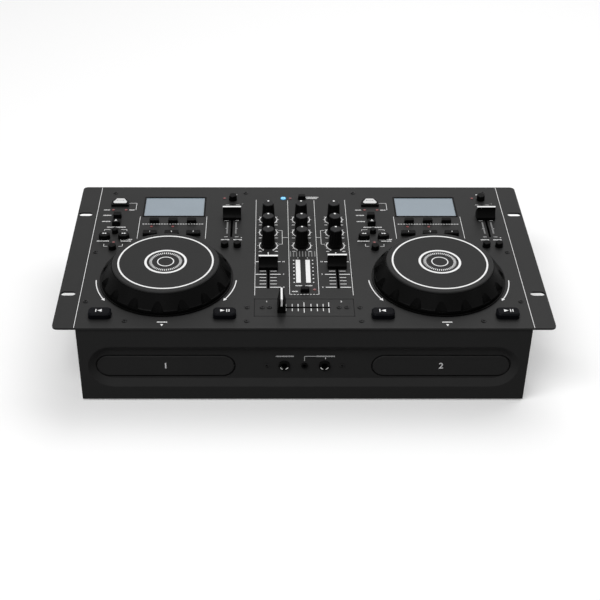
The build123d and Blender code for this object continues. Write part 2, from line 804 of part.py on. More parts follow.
def make_jog_plate(deck_x):
    """The wheel's touch plate, with the hub and spindle under it."""
    plate = pillar(0, 0, jog_plate_bottom, jog_top, jog_plate_radius)
    plate = chamfer(plate.edges().group_by(Axis.Z)[-1], jog_plate_edge)
    hub_low = plate_top + plate_thickness + jog_bush_height + rail_clearance
    plate += pillar(0, 0, hub_low, jog_plate_bottom, jog_hub_radius)
    plate += pillar(0, 0, jog_top - jog_shaft_length, hub_low, jog_shaft_radius)
    return Pos(deck_x, jog_y, 0) * plate


def make_jog_base(deck_x):
    """The fixed ring round the wheel and the bush that its spindle turns in."""
    ring = pillar(deck_x, jog_y, plate_top, plate_top + bezel_height, bezel_radius, bezel_inner_radius)
    ring += pillar(deck_x, jog_y, plate_top, plate_top + bezel_lip_height, bezel_radius,
                   bezel_radius - bezel_lip)
    bore = jog_shaft_radius + jog_shaft_clearance
    bush = pillar(deck_x, jog_y, plate_top, plate_top + plate_thickness, jog_hole_radius + 4, bore)
    bush += pillar(deck_x, jog_y, plate_underside - 4, plate_top, jog_hole_radius - lamp_gap, bore)
    bush_top = plate_top + plate_thickness + jog_bush_height
    bush += pillar(deck_x, jog_y, plate_top + plate_thickness, bush_top, jog_bush_radius, bore)
    return [ring, bush]


# ---------------------------------------------------------------- controls
def make_key(x, y, width, depth, height, corner, edge=key_edge):
    """One key: a cap through the plate, a flange that holds it in, and a stem to its switch."""
    flange_top = plate_underside - key_float
    flange_low = flange_top - key_flange_height
    cap = prism(x, y, flange_low, plate_top + height, width, depth, corner)
    cap = chamfer(cap.edges().group_by(Axis.Z)[-1], edge)
    grown = 2 * key_flange
    flange_corner = corner + key_flange if 2 * corner > min(width, depth) - 0.01 else corner
    flange = prism(x, y, flange_low, flange_top, width + grown, depth + grown, flange_corner)
    stem_low = board_top + switch_height + key_travel + key_float
    stem = prism(x, y, stem_low, flange_low, key_stem_side, key_stem_side)
    return cap + flange + stem


def make_keys(keys, deck_x):
    """All the keys of one node."""
    solids = []
    for x, y, width, depth, height, corner in keys:
        edge = pad_edge if width == pad_width else key_edge
        solids.append(make_key(deck_x + x, y, width, depth, height, corner, edge))
    return joined(solids)


def make_fader_cap(x, y, length, depth, height, crest, hollow, turned=False):
    """A fader cap with a raised crest across it, on a thin stem through the slot."""
    low = plate_top + cap_over_plate
    half = depth / 2
    shoulder = cap_skirt
    middle = ((half + crest / 2) / 2 - hollow, (shoulder + height) / 2)
    right = ThreePointArc((half, shoulder), middle, (crest / 2, height))
    left = ThreePointArc((-crest / 2, height), (-middle[0], middle[1]), (-half, shoulder))
    profile = Curve(children=[Line((-half, 0), (half, 0)), Line((half, 0), (half, shoulder)), right,
                              Line((crest / 2, height), (-crest / 2, height)), left,
                              Line((-half, shoulder), (-half, 0))])
    section = Plane(origin=(-length / 2, 0, low), x_dir=(0, 1, 0), z_dir=(1, 0, 0)) * make_face(profile)
    cap = extrude(section, amount=length)
    stem = prism(0, 0, low - stem_depth, low, stem_thickness, stem_length)
    if turned:
        stem = prism(0, 0, low - stem_depth, low, stem_length, stem_thickness)
        return Pos(x, y, 0) * (Rot(0, 0, 90) * cap + stem)
    return Pos(x, y, 0) * (cap + stem)


def make_knob(x, y):
    """A fluted knob: grip, top cap and the shaft that it turns."""
    low = plate_top + knob_over_plate
    body_top = plate_top + knob_height - knob_cap_height
    body = pillar(0, 0, low, low + knob_base_height, knob_base_radius)
    grip_low = low + knob_base_height
    grip = loft([Pos(0, 0, grip_low) * Circle(knob_grip_radius),
                 Pos(0, 0, body_top) * Circle(knob_top_radius)])
    lean = math.degrees(math.atan2(knob_grip_radius - knob_top_radius, body_top - grip_low))
    flute = Pos(knob_grip_radius + flute_radius - flute_depth, 0, grip_low) * Rot(0, -lean, 0)
    flute = flute * Pos(0, 0, (body_top - grip_low) / 2) * Cylinder(flute_radius, body_top - grip_low + 3)
    grip -= [Rot(0, 0, index * 360 / flute_count) * flute for index in range(flute_count)]
    body += grip
    cap = pillar(0, 0, body_top, plate_top + knob_height, knob_top_radius - knob_cap_border)
    cap = chamfer(cap.edges().group_by(Axis.Z)[-1], 0.4)
    shaft = pillar(0, 0, board_top + pot_height + 2, low, pot_shaft_radius)
    return joined([Pos(x, y, 0) * piece for piece in (body, cap, shaft)])


def make_crossfader_plate():
    """The small plate flush in the top plate, with the crossfader's slot."""
    width = crossfader_plate_width - 2 * crossfader_plate_gap
    depth = crossfader_plate_depth - 2 * crossfader_plate_gap
    holes = [Rectangle(crossfader_travel + slot_run, slot_width)]
    holes += [Pos(x - mixer_x, 0) * Circle(screw_hole_radius) for x in crossfader_screws_x]
    face = Rectangle(width, depth) - holes
    return extrude(Pos(mixer_x, crossfader_y, plate_underside) * face, amount=plate_thickness)


# ---------------------------------------------------------------- displays, ports and lamps
def make_display_bezel(deck_x):
    """The black frame round one display."""
    low = plate_underside - display_body
    width = display_width + 2 * display_border
    depth = display_depth + 2 * display_border
    frame = prism(deck_x, display_y, low, plate_top + display_proud, width, depth, display_corner)
    return frame - prism(deck_x, display_y, low - 1, plate_top + 1, display_width, display_depth)


def make_display_screen(deck_x):
    """The glass of one display, set a little below its frame."""
    low = plate_underside - display_body
    gap = 2 * lamp_gap
    return prism(deck_x, display_y, low, plate_top - display_sunk, display_width - gap, display_depth - gap)


def make_usb_port(deck_x):
    """A socket under a raised hood that is rounded at the rear and flat at the front."""
    x = deck_x + usb_x

    def hood(border, low, high):
        half = usb_width / 2 - border
        front = usb_front_y + border
        rear = usb_front_y + usb_depth - border
        shoulder = front + (rear - front) * 0.4
        arc = ThreePointArc((x + half, shoulder), (x, rear), (x - half, shoulder))
        sides = Polyline((x - half, shoulder), (x - half, front), (x + half, front), (x + half, shoulder))
        return extrude(Pos(0, 0, low) * make_face(Curve(children=[arc, sides])), amount=high - low)

    base_top = plate_top + usb_height
    base = hood(0, plate_top, base_top)
    lid = hood(usb_lid_border, base_top, base_top + usb_lid_height)
    socket = prism(x, usb_front_y + usb_depth / 2, plate_top - usb_socket_length, plate_top,
                   usb_socket_width, usb_socket_depth)
    return [base, lid, socket]


def make_indicator_lights():
    """Lamps, the ring lamp and the two meter windows, each reaching up through the plate."""
    lights = [pillar(x, y, plate_top - lamp_depth, plate_top + lamp_proud, radius)
              for x, y, radius in lamp_places()]
    for x in meter_x:
        window = prism(x, meter_y, plate_underside, plate_top + lamp_gap, meter_width, meter_length)
        window += prism(x, meter_y, plate_underside - meter_sunk, plate_underside,
                        meter_width + 2 * meter_flange, meter_length + 2 * meter_flange)
        lights.append(window)
    return joined(lights)


# ---------------------------------------------------------------- inner boards
def fader_body(x, y, travel, turned=False):
    """The channel under a slot that a fader's stem runs in."""
    length = travel + slot_run + 2 * fader_body_margin
    low = plate_underside - fader_body_height
    body = prism(0, 0, low, plate_underside, fader_body_width, length)
    body -= prism(0, 0, low + 1.5, plate_underside + 1, fader_channel_width, travel + slot_run + 2)
    if turned:
        body = Rot(0, 0, 90) * body
    return Pos(x, y, 0) * body


def board_with_posts(x, width, front_post_y, hole_radius=0.0):
    """A board hung under the plate on four posts."""
    middle_y = (board_front_y + board_rear_y) / 2
    face = Rectangle(width, board_rear_y - board_front_y)
    if hole_radius > 0:
        face -= Pos(0, jog_y - middle_y) * Circle(hole_radius)
    pieces = [extrude(Pos(x, middle_y, board_top - board_thickness) * face, amount=board_thickness)]
    for side in (-1, 1):
        for y in (front_post_y, board_rear_post_y):
            post_x = x + side * (width / 2 - board_post_inset)
            pieces.append(pillar(post_x, y, board_top, plate_underside, board_post_radius))
    return pieces


def make_control_boards():
    """Deck boards, mixer board and power board, with their switches, pots and faders."""
    pieces = board_with_posts(0, mixer_board_width, mixer_front_post_y)
    for deck_x in decks.values():
        pieces += board_with_posts(deck_x, deck_board_width, deck_front_post_y, jog_board_hole)
    for x, y, width, depth, corner in key_openings():
        pieces.append(prism(x, y, board_top, board_top + switch_height, switch_side, switch_side))
    for x in knob_columns.values():
        for y in knob_rows.values():
            bore = pot_shaft_radius + pot_shaft_clearance
            pot = prism(x, y, board_top, board_top + pot_height, pot_side, pot_side)
            pot += pillar(x, y, board_top + pot_height, plate_underside, pot_bush_radius)
            pot -= pillar(x, y, board_top + pot_height, plate_underside + 1, bore)
            pot -= pillar(x, y, board_top + 1, board_top + pot_height, bore)
            pieces.append(pot)
    for x, y, travel in upright_faders():
        pieces.append(fader_body(x, y, travel))
    crossfader = fader_body(mixer_x, crossfader_y, crossfader_travel, turned=True)
    ledge_width = crossfader_plate_width + 2 * crossfader_bracket_margin
    ledge_depth = crossfader_plate_depth + 6
    ledge = Rectangle(ledge_width, ledge_depth) - Rectangle(crossfader_travel + slot_run + 2,
                                                            fader_channel_width)
    ledge_holes = (*crossfader_screws_x, -bracket_screw_x, bracket_screw_x)
    ledge -= [Pos(x - mixer_x, 0) * Circle(screw_hole_radius) for x in ledge_holes]
    bracket = extrude(Pos(mixer_x, crossfader_y, plate_underside - sheet) * ledge, amount=sheet)
    pieces.append(crossfader + bracket)
    power_y = body_rear - sheet - power_board_depth / 2 - power_board_gap
    board = prism(0, power_y, power_board_z, power_board_z + board_thickness, power_board_width,
                  power_board_depth)
    pieces.append(board)
    for side_x in (-1, 1):
        for side_y in (-1, 1):
            x = side_x * (power_board_width / 2 - board_post_inset)
            y = power_y + side_y * (power_board_depth / 2 - board_post_inset)
            pieces.append(pillar(x, y, floor_top, power_board_z, board_post_radius))
    power_top = power_board_z + board_thickness
    width, depth, height = transformer
    pieces.append(prism(-width / 2, power_y, power_top, power_top + height, width, depth, 2))
    for index in range(capacitor_count):
        x = (index + 1) * capacitor_pitch
        pieces.append(pillar(x, power_y, power_top, power_top + capacitor_height, capacitor_radius))
    return joined(pieces)


# ---------------------------------------------------------------- connectors
def jack_tube(x, radius, bore, depth):
    """A jack in the recess floor: a nut in front and a bored barrel behind."""
    barrel = front_bar(x, jack_middle, recess_floor, recess_floor + depth, radius - jack_thread_step)
    nut = front_bar(x, jack_middle, recess_floor - jack_nut_height, recess_floor, radius)
    nut = chamfer(nut.edges().group_by(Axis.Y)[0], jack_nut_edge)
    hole = front_bar(x, jack_middle, recess_floor - jack_nut_height - 1,
                     recess_floor + depth - jack_end_wall, bore)
    return barrel + nut - hole


def make_front_jacks():
    """The microphone, line and headphone jacks."""
    jacks = [jack_tube(x, large_jack_radius, large_plug_radius, large_jack_depth) for x in large_jack_x]
    jacks.append(jack_tube(small_jack_x, small_jack_radius, small_plug_radius, small_jack_depth))
    return joined(jacks)


def make_rear_connectors():
    """Pairs of phono jacks, the mains inlet and the frame of the power rocker."""
    pieces = []
    barrel_end = body_rear + rca_length
    for x in rca_columns_x:
        middle_z = sum(rca_heights) / len(rca_heights)
        pair = front_prism(x, middle_z, body_rear, body_rear + rca_plate_thickness,
                           rca_plate_width, rca_plate_height, 2)
        for z in rca_heights:
            pair += front_bar(x, z, body_rear - rca_body_depth, barrel_end, rca_radius)
            pair -= front_bar(x, z, body_rear - rca_body_depth / 2, barrel_end + 1, rca_bore_radius)
        pieces.append(pair)
    inlet_front = body_rear + inlet_flange_thickness
    inlet = front_prism(inlet_x, inlet_z, body_rear, inlet_front, inlet_flange_width,
                        inlet_flange_height, 3)
    inlet += front_prism(inlet_x, inlet_z, inlet_front - inlet_cavity_depth - inlet_wall, body_rear,
                         inlet_cavity_width + 2 * inlet_wall, inlet_cavity_height + 2 * inlet_wall)
    inlet -= front_prism(inlet_x, inlet_z, inlet_front - inlet_cavity_depth, inlet_front + 1,
                         inlet_cavity_width, inlet_cavity_height, 2)
    for shift, rise in ((-inlet_pin_spacing, 0), (0, inlet_earth_rise), (inlet_pin_spacing, 0)):
        pin_start = inlet_front - inlet_cavity_depth
        inlet += front_prism(inlet_x + shift, inlet_z + rise, pin_start, pin_start + inlet_pin_length,
                             inlet_pin_thickness, inlet_pin_height)
    pieces.append(inlet)
    frame_front = body_rear + rocker_frame_thickness
    opening_width = rocker_width + 2 * rocker_gap
    opening_height = 2 * (rocker_radius + rocker_gap)
    frame = front_prism(rocker_x, inlet_z, body_rear, frame_front, rocker_frame_width,
                        rocker_frame_height, 1.5)
    frame += front_prism(rocker_x, inlet_z, body_rear - rocker_body_depth, body_rear,
                         opening_width + 2 * inlet_wall - 1, opening_height + 1)
    frame -= front_prism(rocker_x, inlet_z, frame_front - 9, frame_front + 1, opening_width, opening_height)
    pin = side_bar(rocker_x - opening_width / 2, rocker_x + opening_width / 2,
                   body_rear, inlet_z, gear_post_radius)
    pieces.append(frame + pin)
    return joined(pieces)


def make_power_rocker():
    """The rocker, tilted to its off side, on the pin of its frame."""
    crown = rocker_frame_thickness + 1.2
    ends = math.sqrt(rocker_radius ** 2 - (crown - 1.2) ** 2)
    back = -4.0
    back_end = math.sqrt(rocker_radius ** 2 - back ** 2)
    upper_tip = (crown - 1.2, ends)
    lower_tip = (crown - 1.2, -ends)
    edges = [Line((crown, 0), upper_tip),
             ThreePointArc(upper_tip, (0, rocker_radius), (back, back_end)),
             Line((back, back_end), (back, -back_end)),
             ThreePointArc((back, -back_end), (0, -rocker_radius), lower_tip),
             Line(lower_tip, (crown, 0))]
    section = make_face(Curve(children=edges)) - Circle(gear_post_radius + jog_shaft_clearance)
    upright = Plane(origin=(-rocker_width / 2, 0, 0), x_dir=(0, 1, 0), z_dir=(1, 0, 0))
    body = extrude(upright * section, amount=rocker_width)
    return Pos(rocker_x, body_rear, inlet_z) * Rot(rocker_tilt, 0, 0) * body


# ---------------------------------------------------------------- all nodes
def make_nodes():
    """Every node by name."""
    nodes = {
        "top_plate": make_top_plate(),
        "chassis_tub": make_chassis_tub(),
        "front_panel": make_front_panel(),
        "crossfader_plate": make_crossfader_plate(),
        "feet": make_feet(),
        "screws": make_screws(),
        "display_bezels": joined([make_display_bezel(x) for x in decks.values()]),
        "display_screens": joined([make_display_screen(x) for x in decks.values()]),
        "jog_bases": joined([piece for x in decks.values() for piece in make_jog_base(x)]),
        "usb_ports": joined([piece for x in decks.values() for piece in make_usb_port(x)]),
        "indicator_lights": make_indicator_lights(),
        "control_boards": make_control_boards(),
        "disc_loaders": joined([piece for x in trays.values() for piece in make_disc_loader(x)]),
        "front_jacks": make_front_jacks(),
        "rear_connectors": make_rear_connectors(),
        "power_rocker": make_power_rocker(),
        "crossfader_cap": make_fader_cap(crossfader_rest_x, crossfader_y, cross_cap_depth, cross_cap_width,
                                         cross_cap_height, cross_cap_crest, 0.3, turned=True),
        "left_channel_cap": make_fader_cap(channel_columns["left"], left_channel_rest_y, cap_length,
                                           cap_depth, cap_height, cap_crest, cap_hollow),
        "right_channel_cap": make_fader_cap(channel_columns["right"], right_channel_rest_y, cap_length,
                                            cap_depth, cap_height, cap_crest, cap_hollow),
    }
    for side, deck_x in decks.items():
        nodes[f"{side}_jog_skirt"] = make_jog_skirt(deck_x)
        nodes[f"{side}_jog_plate"] = make_jog_plate(deck_x)
        nodes[f"{side}_pitch_cap"] = make_fader_cap(deck_x + pitch_slot_x, pitch_rest_y, cap_length,
                                                    cap_depth, cap_height, cap_crest, cap_hollow)
        for name, keys in deck_keys.items():
            nodes[f"{side}_{name}"] = make_keys(keys, deck_x)
    for side, tray_x in trays.items():
        nodes[f"{side}_disc_tray"] = make_disc_tray(tray_x)
        nodes[f"{side}_tray_door"] = make_tray_door(tray_x)
        nodes[f"{side}_loader_gear"] = make_gear(tray_x)
    for name, keys in mixer_keys.items():
        nodes[name] = make_keys(keys, 0)
    for column, x in knob_columns.items():
        for row, y in knob_rows.items():
            nodes[f"{column}_{row}_knob"] = make_knob(x, y)
    return nodes


os.makedirs("parts", exist_ok=True)
for node_name, shape in make_nodes().items():
    export_step(shape, f"parts/{node_name}.step")
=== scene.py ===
import json
import logging
import math
from dataclasses import dataclass, field
from enum import Enum
from typing import Callable, Iterable, Iterator, Sequence

import bmesh
import bpy
from mathutils import Euler, Matrix, Vector


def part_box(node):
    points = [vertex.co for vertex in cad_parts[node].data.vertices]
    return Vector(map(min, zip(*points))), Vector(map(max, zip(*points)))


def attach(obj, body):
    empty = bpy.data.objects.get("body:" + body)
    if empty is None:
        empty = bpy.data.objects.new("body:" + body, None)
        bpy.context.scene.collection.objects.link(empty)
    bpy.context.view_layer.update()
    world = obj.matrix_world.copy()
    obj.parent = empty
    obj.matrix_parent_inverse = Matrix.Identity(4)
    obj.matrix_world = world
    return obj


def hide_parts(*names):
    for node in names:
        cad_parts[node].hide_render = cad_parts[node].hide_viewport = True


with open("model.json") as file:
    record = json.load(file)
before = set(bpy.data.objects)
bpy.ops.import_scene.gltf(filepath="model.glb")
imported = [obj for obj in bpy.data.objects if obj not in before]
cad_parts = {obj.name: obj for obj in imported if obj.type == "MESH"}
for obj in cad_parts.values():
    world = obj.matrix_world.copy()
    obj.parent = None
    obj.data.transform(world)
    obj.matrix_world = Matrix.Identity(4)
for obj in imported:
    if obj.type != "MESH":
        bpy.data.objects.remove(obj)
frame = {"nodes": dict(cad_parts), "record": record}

MM = 0.001
PRINT_HEIGHT = 0.06
PRINT_SINK = 0.03
CREST_DEPTH = 1.6
CREST_PROUD = 0.05
CREST_WIDTH = 2.6
SHARP_ANGLE = 30.0
UPRIGHT = Matrix.Rotation(math.radians(90), 4, "X")
BACKWARD = Matrix.Rotation(math.radians(-90), 4, "X")
log = logging.getLogger("console")

Corner = tuple[float, float, float]
Colour = tuple[float, float, float]
Point = tuple[float, float]
Span = tuple[float, float]
Row = tuple[float, float, float]


class Effect(Enum):
    """The shader effects that several finishes share."""

    GRAIN = "moulded grain"
    RUB = "rubbed patches"
    DUST = "settled dust"


class Side(Enum):
    """The two decks, by the side of the console that they stand on."""

    LEFT = "left"
    RIGHT = "right"


# ------------------------------------------------------------------ shader effects
class NodeSheet:
    """A node tree that is filled from left to right."""

    def __init__(self, tree: bpy.types.NodeTree) -> None:
        """Args:
            tree: The tree that the nodes go into.
        """
        self.tree = tree
        self.count = 0

    def add(self, kind: str, **settings: object) -> bpy.types.Node:
        """Adds a node and sets its properties and unlinked inputs.

        Args:
            kind: The node's Blender type.
            settings: Properties by name, or inputs by name with spaces as underscores.

        Returns:
            The node.
        """
        node = self.tree.nodes.new(kind)
        node.location = (self.count * 200, -(self.count % 3) * 160)
        self.count += 1
        for name, value in settings.items():
            socket = node.inputs.get(name.replace("_", " "))
            if socket is not None and not hasattr(node, name):
                socket.default_value = value
            else:
                setattr(node, name, value)
        return node

    def join(self, start: bpy.types.NodeSocket, end: bpy.types.NodeSocket) -> None:
        """Links two sockets."""
        self.tree.links.new(start, end)

    def maths(self, operation: str, first: object, second: object) -> bpy.types.NodeSocket:
        """Works out one sum.

        Args:
            operation: A Math node operation.
            first: A socket or a number.
            second: A socket or a number.

        Returns:
            The socket with the result.
        """
        node = self.add("ShaderNodeMath", operation=operation)
        for index, value in enumerate((first, second)):
            if isinstance(value, bpy.types.NodeSocket):
                self.join(value, node.inputs[index])
            else:
                node.inputs[index].default_value = value
        return node.outputs[0]

    def blend(self, amount: object, first: object, second: object) -> bpy.types.NodeSocket:
        """Mixes two colours.

        Args:
            amount: A socket or number from 0 to 1.
            first: Colour or socket at 0.
            second: Colour or socket at 1.

        Returns:
            The socket with the mixed colour.
        """
        node = self.add("ShaderNodeMix", data_type="RGBA")
        for socket, value in ((node.inputs[0], amount), (node.inputs[6], first), (node.inputs[7], second)):
            if isinstance(value, bpy.types.NodeSocket):
                self.join(value, socket)
            elif isinstance(value, tuple):
                socket.default_value = (*value, 1.0)
            else:
                socket.default_value = value
        return node.outputs[2]


class EffectKit:
    """Builds each shared effect once, as a node group."""

    def __init__(self) -> None:
        """Starts with no group built."""
        self.built: dict[Effect, bpy.types.NodeTree] = {}

    def group(self, effect: Effect) -> bpy.types.NodeTree:
        """Returns the group of an effect, built at its first use."""
        if effect not in self.built:
            makers = {Effect.GRAIN: self._grain, Effect.RUB: self._rub, Effect.DUST: self._dust}
            self.built[effect] = makers[effect]()
        return self.built[effect]

    def _start(self, effect: Effect, inputs: dict[str, float], outputs: Sequence[str]) -> tuple:
        """Makes an empty group with its sockets.

        Args:
            effect: The effect that names the group.
            inputs: Float inputs with their defaults.
            outputs: Names of the float outputs.

        Returns:
            The sheet, the group's input node and its output node.
        """
        tree = bpy.data.node_groups.new(effect.value, "ShaderNodeTree")
        for name, value in inputs.items():
            socket = tree.interface.new_socket(name, in_out="INPUT", socket_type="NodeSocketFloat")
            socket.default_value = value
        for name in outputs:
            tree.interface.new_socket(name, in_out="OUTPUT", socket_type="NodeSocketFloat")
        sheet = NodeSheet(tree)
        return sheet, sheet.add("NodeGroupInput"), sheet.add("NodeGroupOutput")

    def _grain(self) -> bpy.types.NodeTree:
        """Fine pebbled grain, as in powder coat and moulded plastic."""
        sheet, start, end = self._start(Effect.GRAIN, {"Scale": 1500.0}, ("Height", "Shade"))
        place = sheet.add("ShaderNodeTexCoord").outputs["Object"]
        pebble = sheet.add("ShaderNodeTexVoronoi", feature="SMOOTH_F1")
        fine = sheet.add("ShaderNodeTexNoise", Detail=3.0, Roughness=0.6)
        for node in (pebble, fine):
            sheet.join(place, node.inputs["Vector"])
            sheet.join(start.outputs["Scale"], node.inputs["Scale"])
        mixed = sheet.maths("MULTIPLY", pebble.outputs["Distance"], fine.outputs["Fac"])
        sheet.join(mixed, end.inputs["Height"])
        sheet.join(fine.outputs["Fac"], end.inputs["Shade"])
        return sheet.tree

    def _rub(self) -> bpy.types.NodeTree:
        """Broad patches and hair lines where hands have polished the surface."""
        sheet, start, end = self._start(Effect.RUB, {"Scale": 30.0}, ("Mask",))
        place = sheet.add("ShaderNodeTexCoord").outputs["Object"]
        broad = sheet.add("ShaderNodeTexNoise", Detail=4.0, Roughness=0.55, Distortion=0.4)
        sheet.join(place, broad.inputs["Vector"])
        sheet.join(start.outputs["Scale"], broad.inputs["Scale"])
        stretch = sheet.add("ShaderNodeMapping", Rotation=(0.0, 0.0, 0.35), Scale=(1.0, 14.0, 6.0))
        sheet.join(place, stretch.inputs["Vector"])
        hair = sheet.add("ShaderNodeTexNoise", Scale=140.0, Detail=2.0)
        sheet.join(stretch.outputs["Vector"], hair.inputs["Vector"])
        hair_mask = sheet.maths("GREATER_THAN", hair.outputs["Fac"], 0.71)
        patch = sheet.add("ShaderNodeMapRange", From_Min=0.42, From_Max=0.68)
        sheet.join(broad.outputs["Fac"], patch.inputs["Value"])
        faint = sheet.maths("MULTIPLY", hair_mask, 0.25)
        total = sheet.maths("ADD", patch.outputs["Result"], faint)
        sheet.join(sheet.maths("MINIMUM", total, 1.0), end.inputs["Mask"])
        return sheet.tree

    def _dust(self) -> bpy.types.NodeTree:
        """Dust on faces that look up, thicker in soft clouds."""
        sheet, start, end = self._start(Effect.DUST, {"Amount": 0.1}, ("Mask",))
        normal = sheet.add("ShaderNodeNewGeometry").outputs["Normal"]
        split = sheet.add("ShaderNodeSeparateXYZ")
        sheet.join(normal, split.inputs["Vector"])
        up = sheet.maths("MAXIMUM", split.outputs["Z"], 0.0)
        cloud = sheet.add("ShaderNodeTexNoise", Scale=22.0, Detail=6.0, Roughness=0.65)
        sheet.join(sheet.add("ShaderNodeTexCoord").outputs["Object"], cloud.inputs["Vector"])
        lying = sheet.maths("MULTIPLY", up, cloud.outputs["Fac"])
        sheet.join(sheet.maths("MULTIPLY", lying, start.outputs["Amount"]), end.inputs["Mask"])
        return sheet.tree


EFFECTS = EffectKit()


# ------------------------------------------------------------------ finishes
DUST_COLOUR = (0.42, 0.41, 0.4)
LIGHTER_SHARE = 1.35
LIGHTER_LIFT = 0.0005
DARKER_SHARE = 0.8
POLISH_SHARE = -0.5
LEAST_ROUGHNESS = 0.03
BUMP_STRENGTH = 0.6


@dataclass(frozen=True)
class Finish:
    """A painted, moulded or plated surface.

    Grain sizes and depths are in millimetres.
    """

    name: str
    colour: Colour
    roughness: float
    metallic: float = 0.0
    coat: float = 0.0
    coat_roughness: float = 0.1
    specular: float = 0.5
    grain_size: float = 0.6
    grain_depth: float = 0.02
    unevenness: float = 0.08
    rub: float = 0.12
    rub_size: float = 30.0
    dust: float = 0.03
    glow: float = 0.0

    def material(self) -> bpy.types.Material:
        """Returns the material of this finish, built at its first use."""
        found = bpy.data.materials.get(f"finish_{self.name}")
        return found if found is not None else self._build()

    def _build(self) -> bpy.types.Material:
        """Builds the node tree.

        Returns:
            The new material.
        """
        material = bpy.data.materials.new(f"finish_{self.name}")
        material.use_nodes = True
        sheet = NodeSheet(material.node_tree)
        shader = material.node_tree.nodes["Principled BSDF"]
        for name, value in (("Metallic", self.metallic), ("Coat Weight", self.coat),
                            ("Coat Roughness", self.coat_roughness), ("Specular IOR Level", self.specular)):
            shader.inputs[name].default_value = value
        grain = sheet.add("ShaderNodeGroup", node_tree=EFFECTS.group(Effect.GRAIN),
                          Scale=1 / (self.grain_size * MM))
        rub = sheet.add("ShaderNodeGroup", node_tree=EFFECTS.group(Effect.RUB),
                        Scale=1 / (self.rub_size * MM))
        dust = sheet.add("ShaderNodeGroup", node_tree=EFFECTS.group(Effect.DUST), Amount=self.dust)
        lighter = tuple(min(1.0, channel * LIGHTER_SHARE + LIGHTER_LIFT) for channel in self.colour)
        darker = tuple(channel * DARKER_SHARE for channel in self.colour)
        mottled = sheet.blend(grain.outputs["Shade"], darker, lighter)
        base = sheet.blend(sheet.maths("MULTIPLY", rub.outputs["Mask"], self.rub), mottled, lighter)
        dusty = sheet.blend(dust.outputs["Mask"], base, DUST_COLOUR)
        sheet.join(dusty, shader.inputs["Base Color"])
        offset = sheet.maths("SUBTRACT", grain.outputs["Shade"], 0.5)
        swing = sheet.maths("MULTIPLY", offset, self.unevenness)
        polish = sheet.maths("MULTIPLY", rub.outputs["Mask"], POLISH_SHARE * self.rub * self.roughness)
        uneven = sheet.maths("ADD", sheet.maths("ADD", swing, polish), self.roughness)
        sheet.join(sheet.maths("MAXIMUM", uneven, LEAST_ROUGHNESS), shader.inputs["Roughness"])
        bump = sheet.add("ShaderNodeBump", Strength=BUMP_STRENGTH, Distance=self.grain_depth * MM)
        sheet.join(grain.outputs["Height"], bump.inputs["Height"])
        sheet.join(bump.outputs["Normal"], shader.inputs["Normal"])
        if self.glow > 0:
            sheet.join(base, shader.inputs["Emission Color"])
            shader.inputs["Emission Strength"].default_value = self.glow
        return material


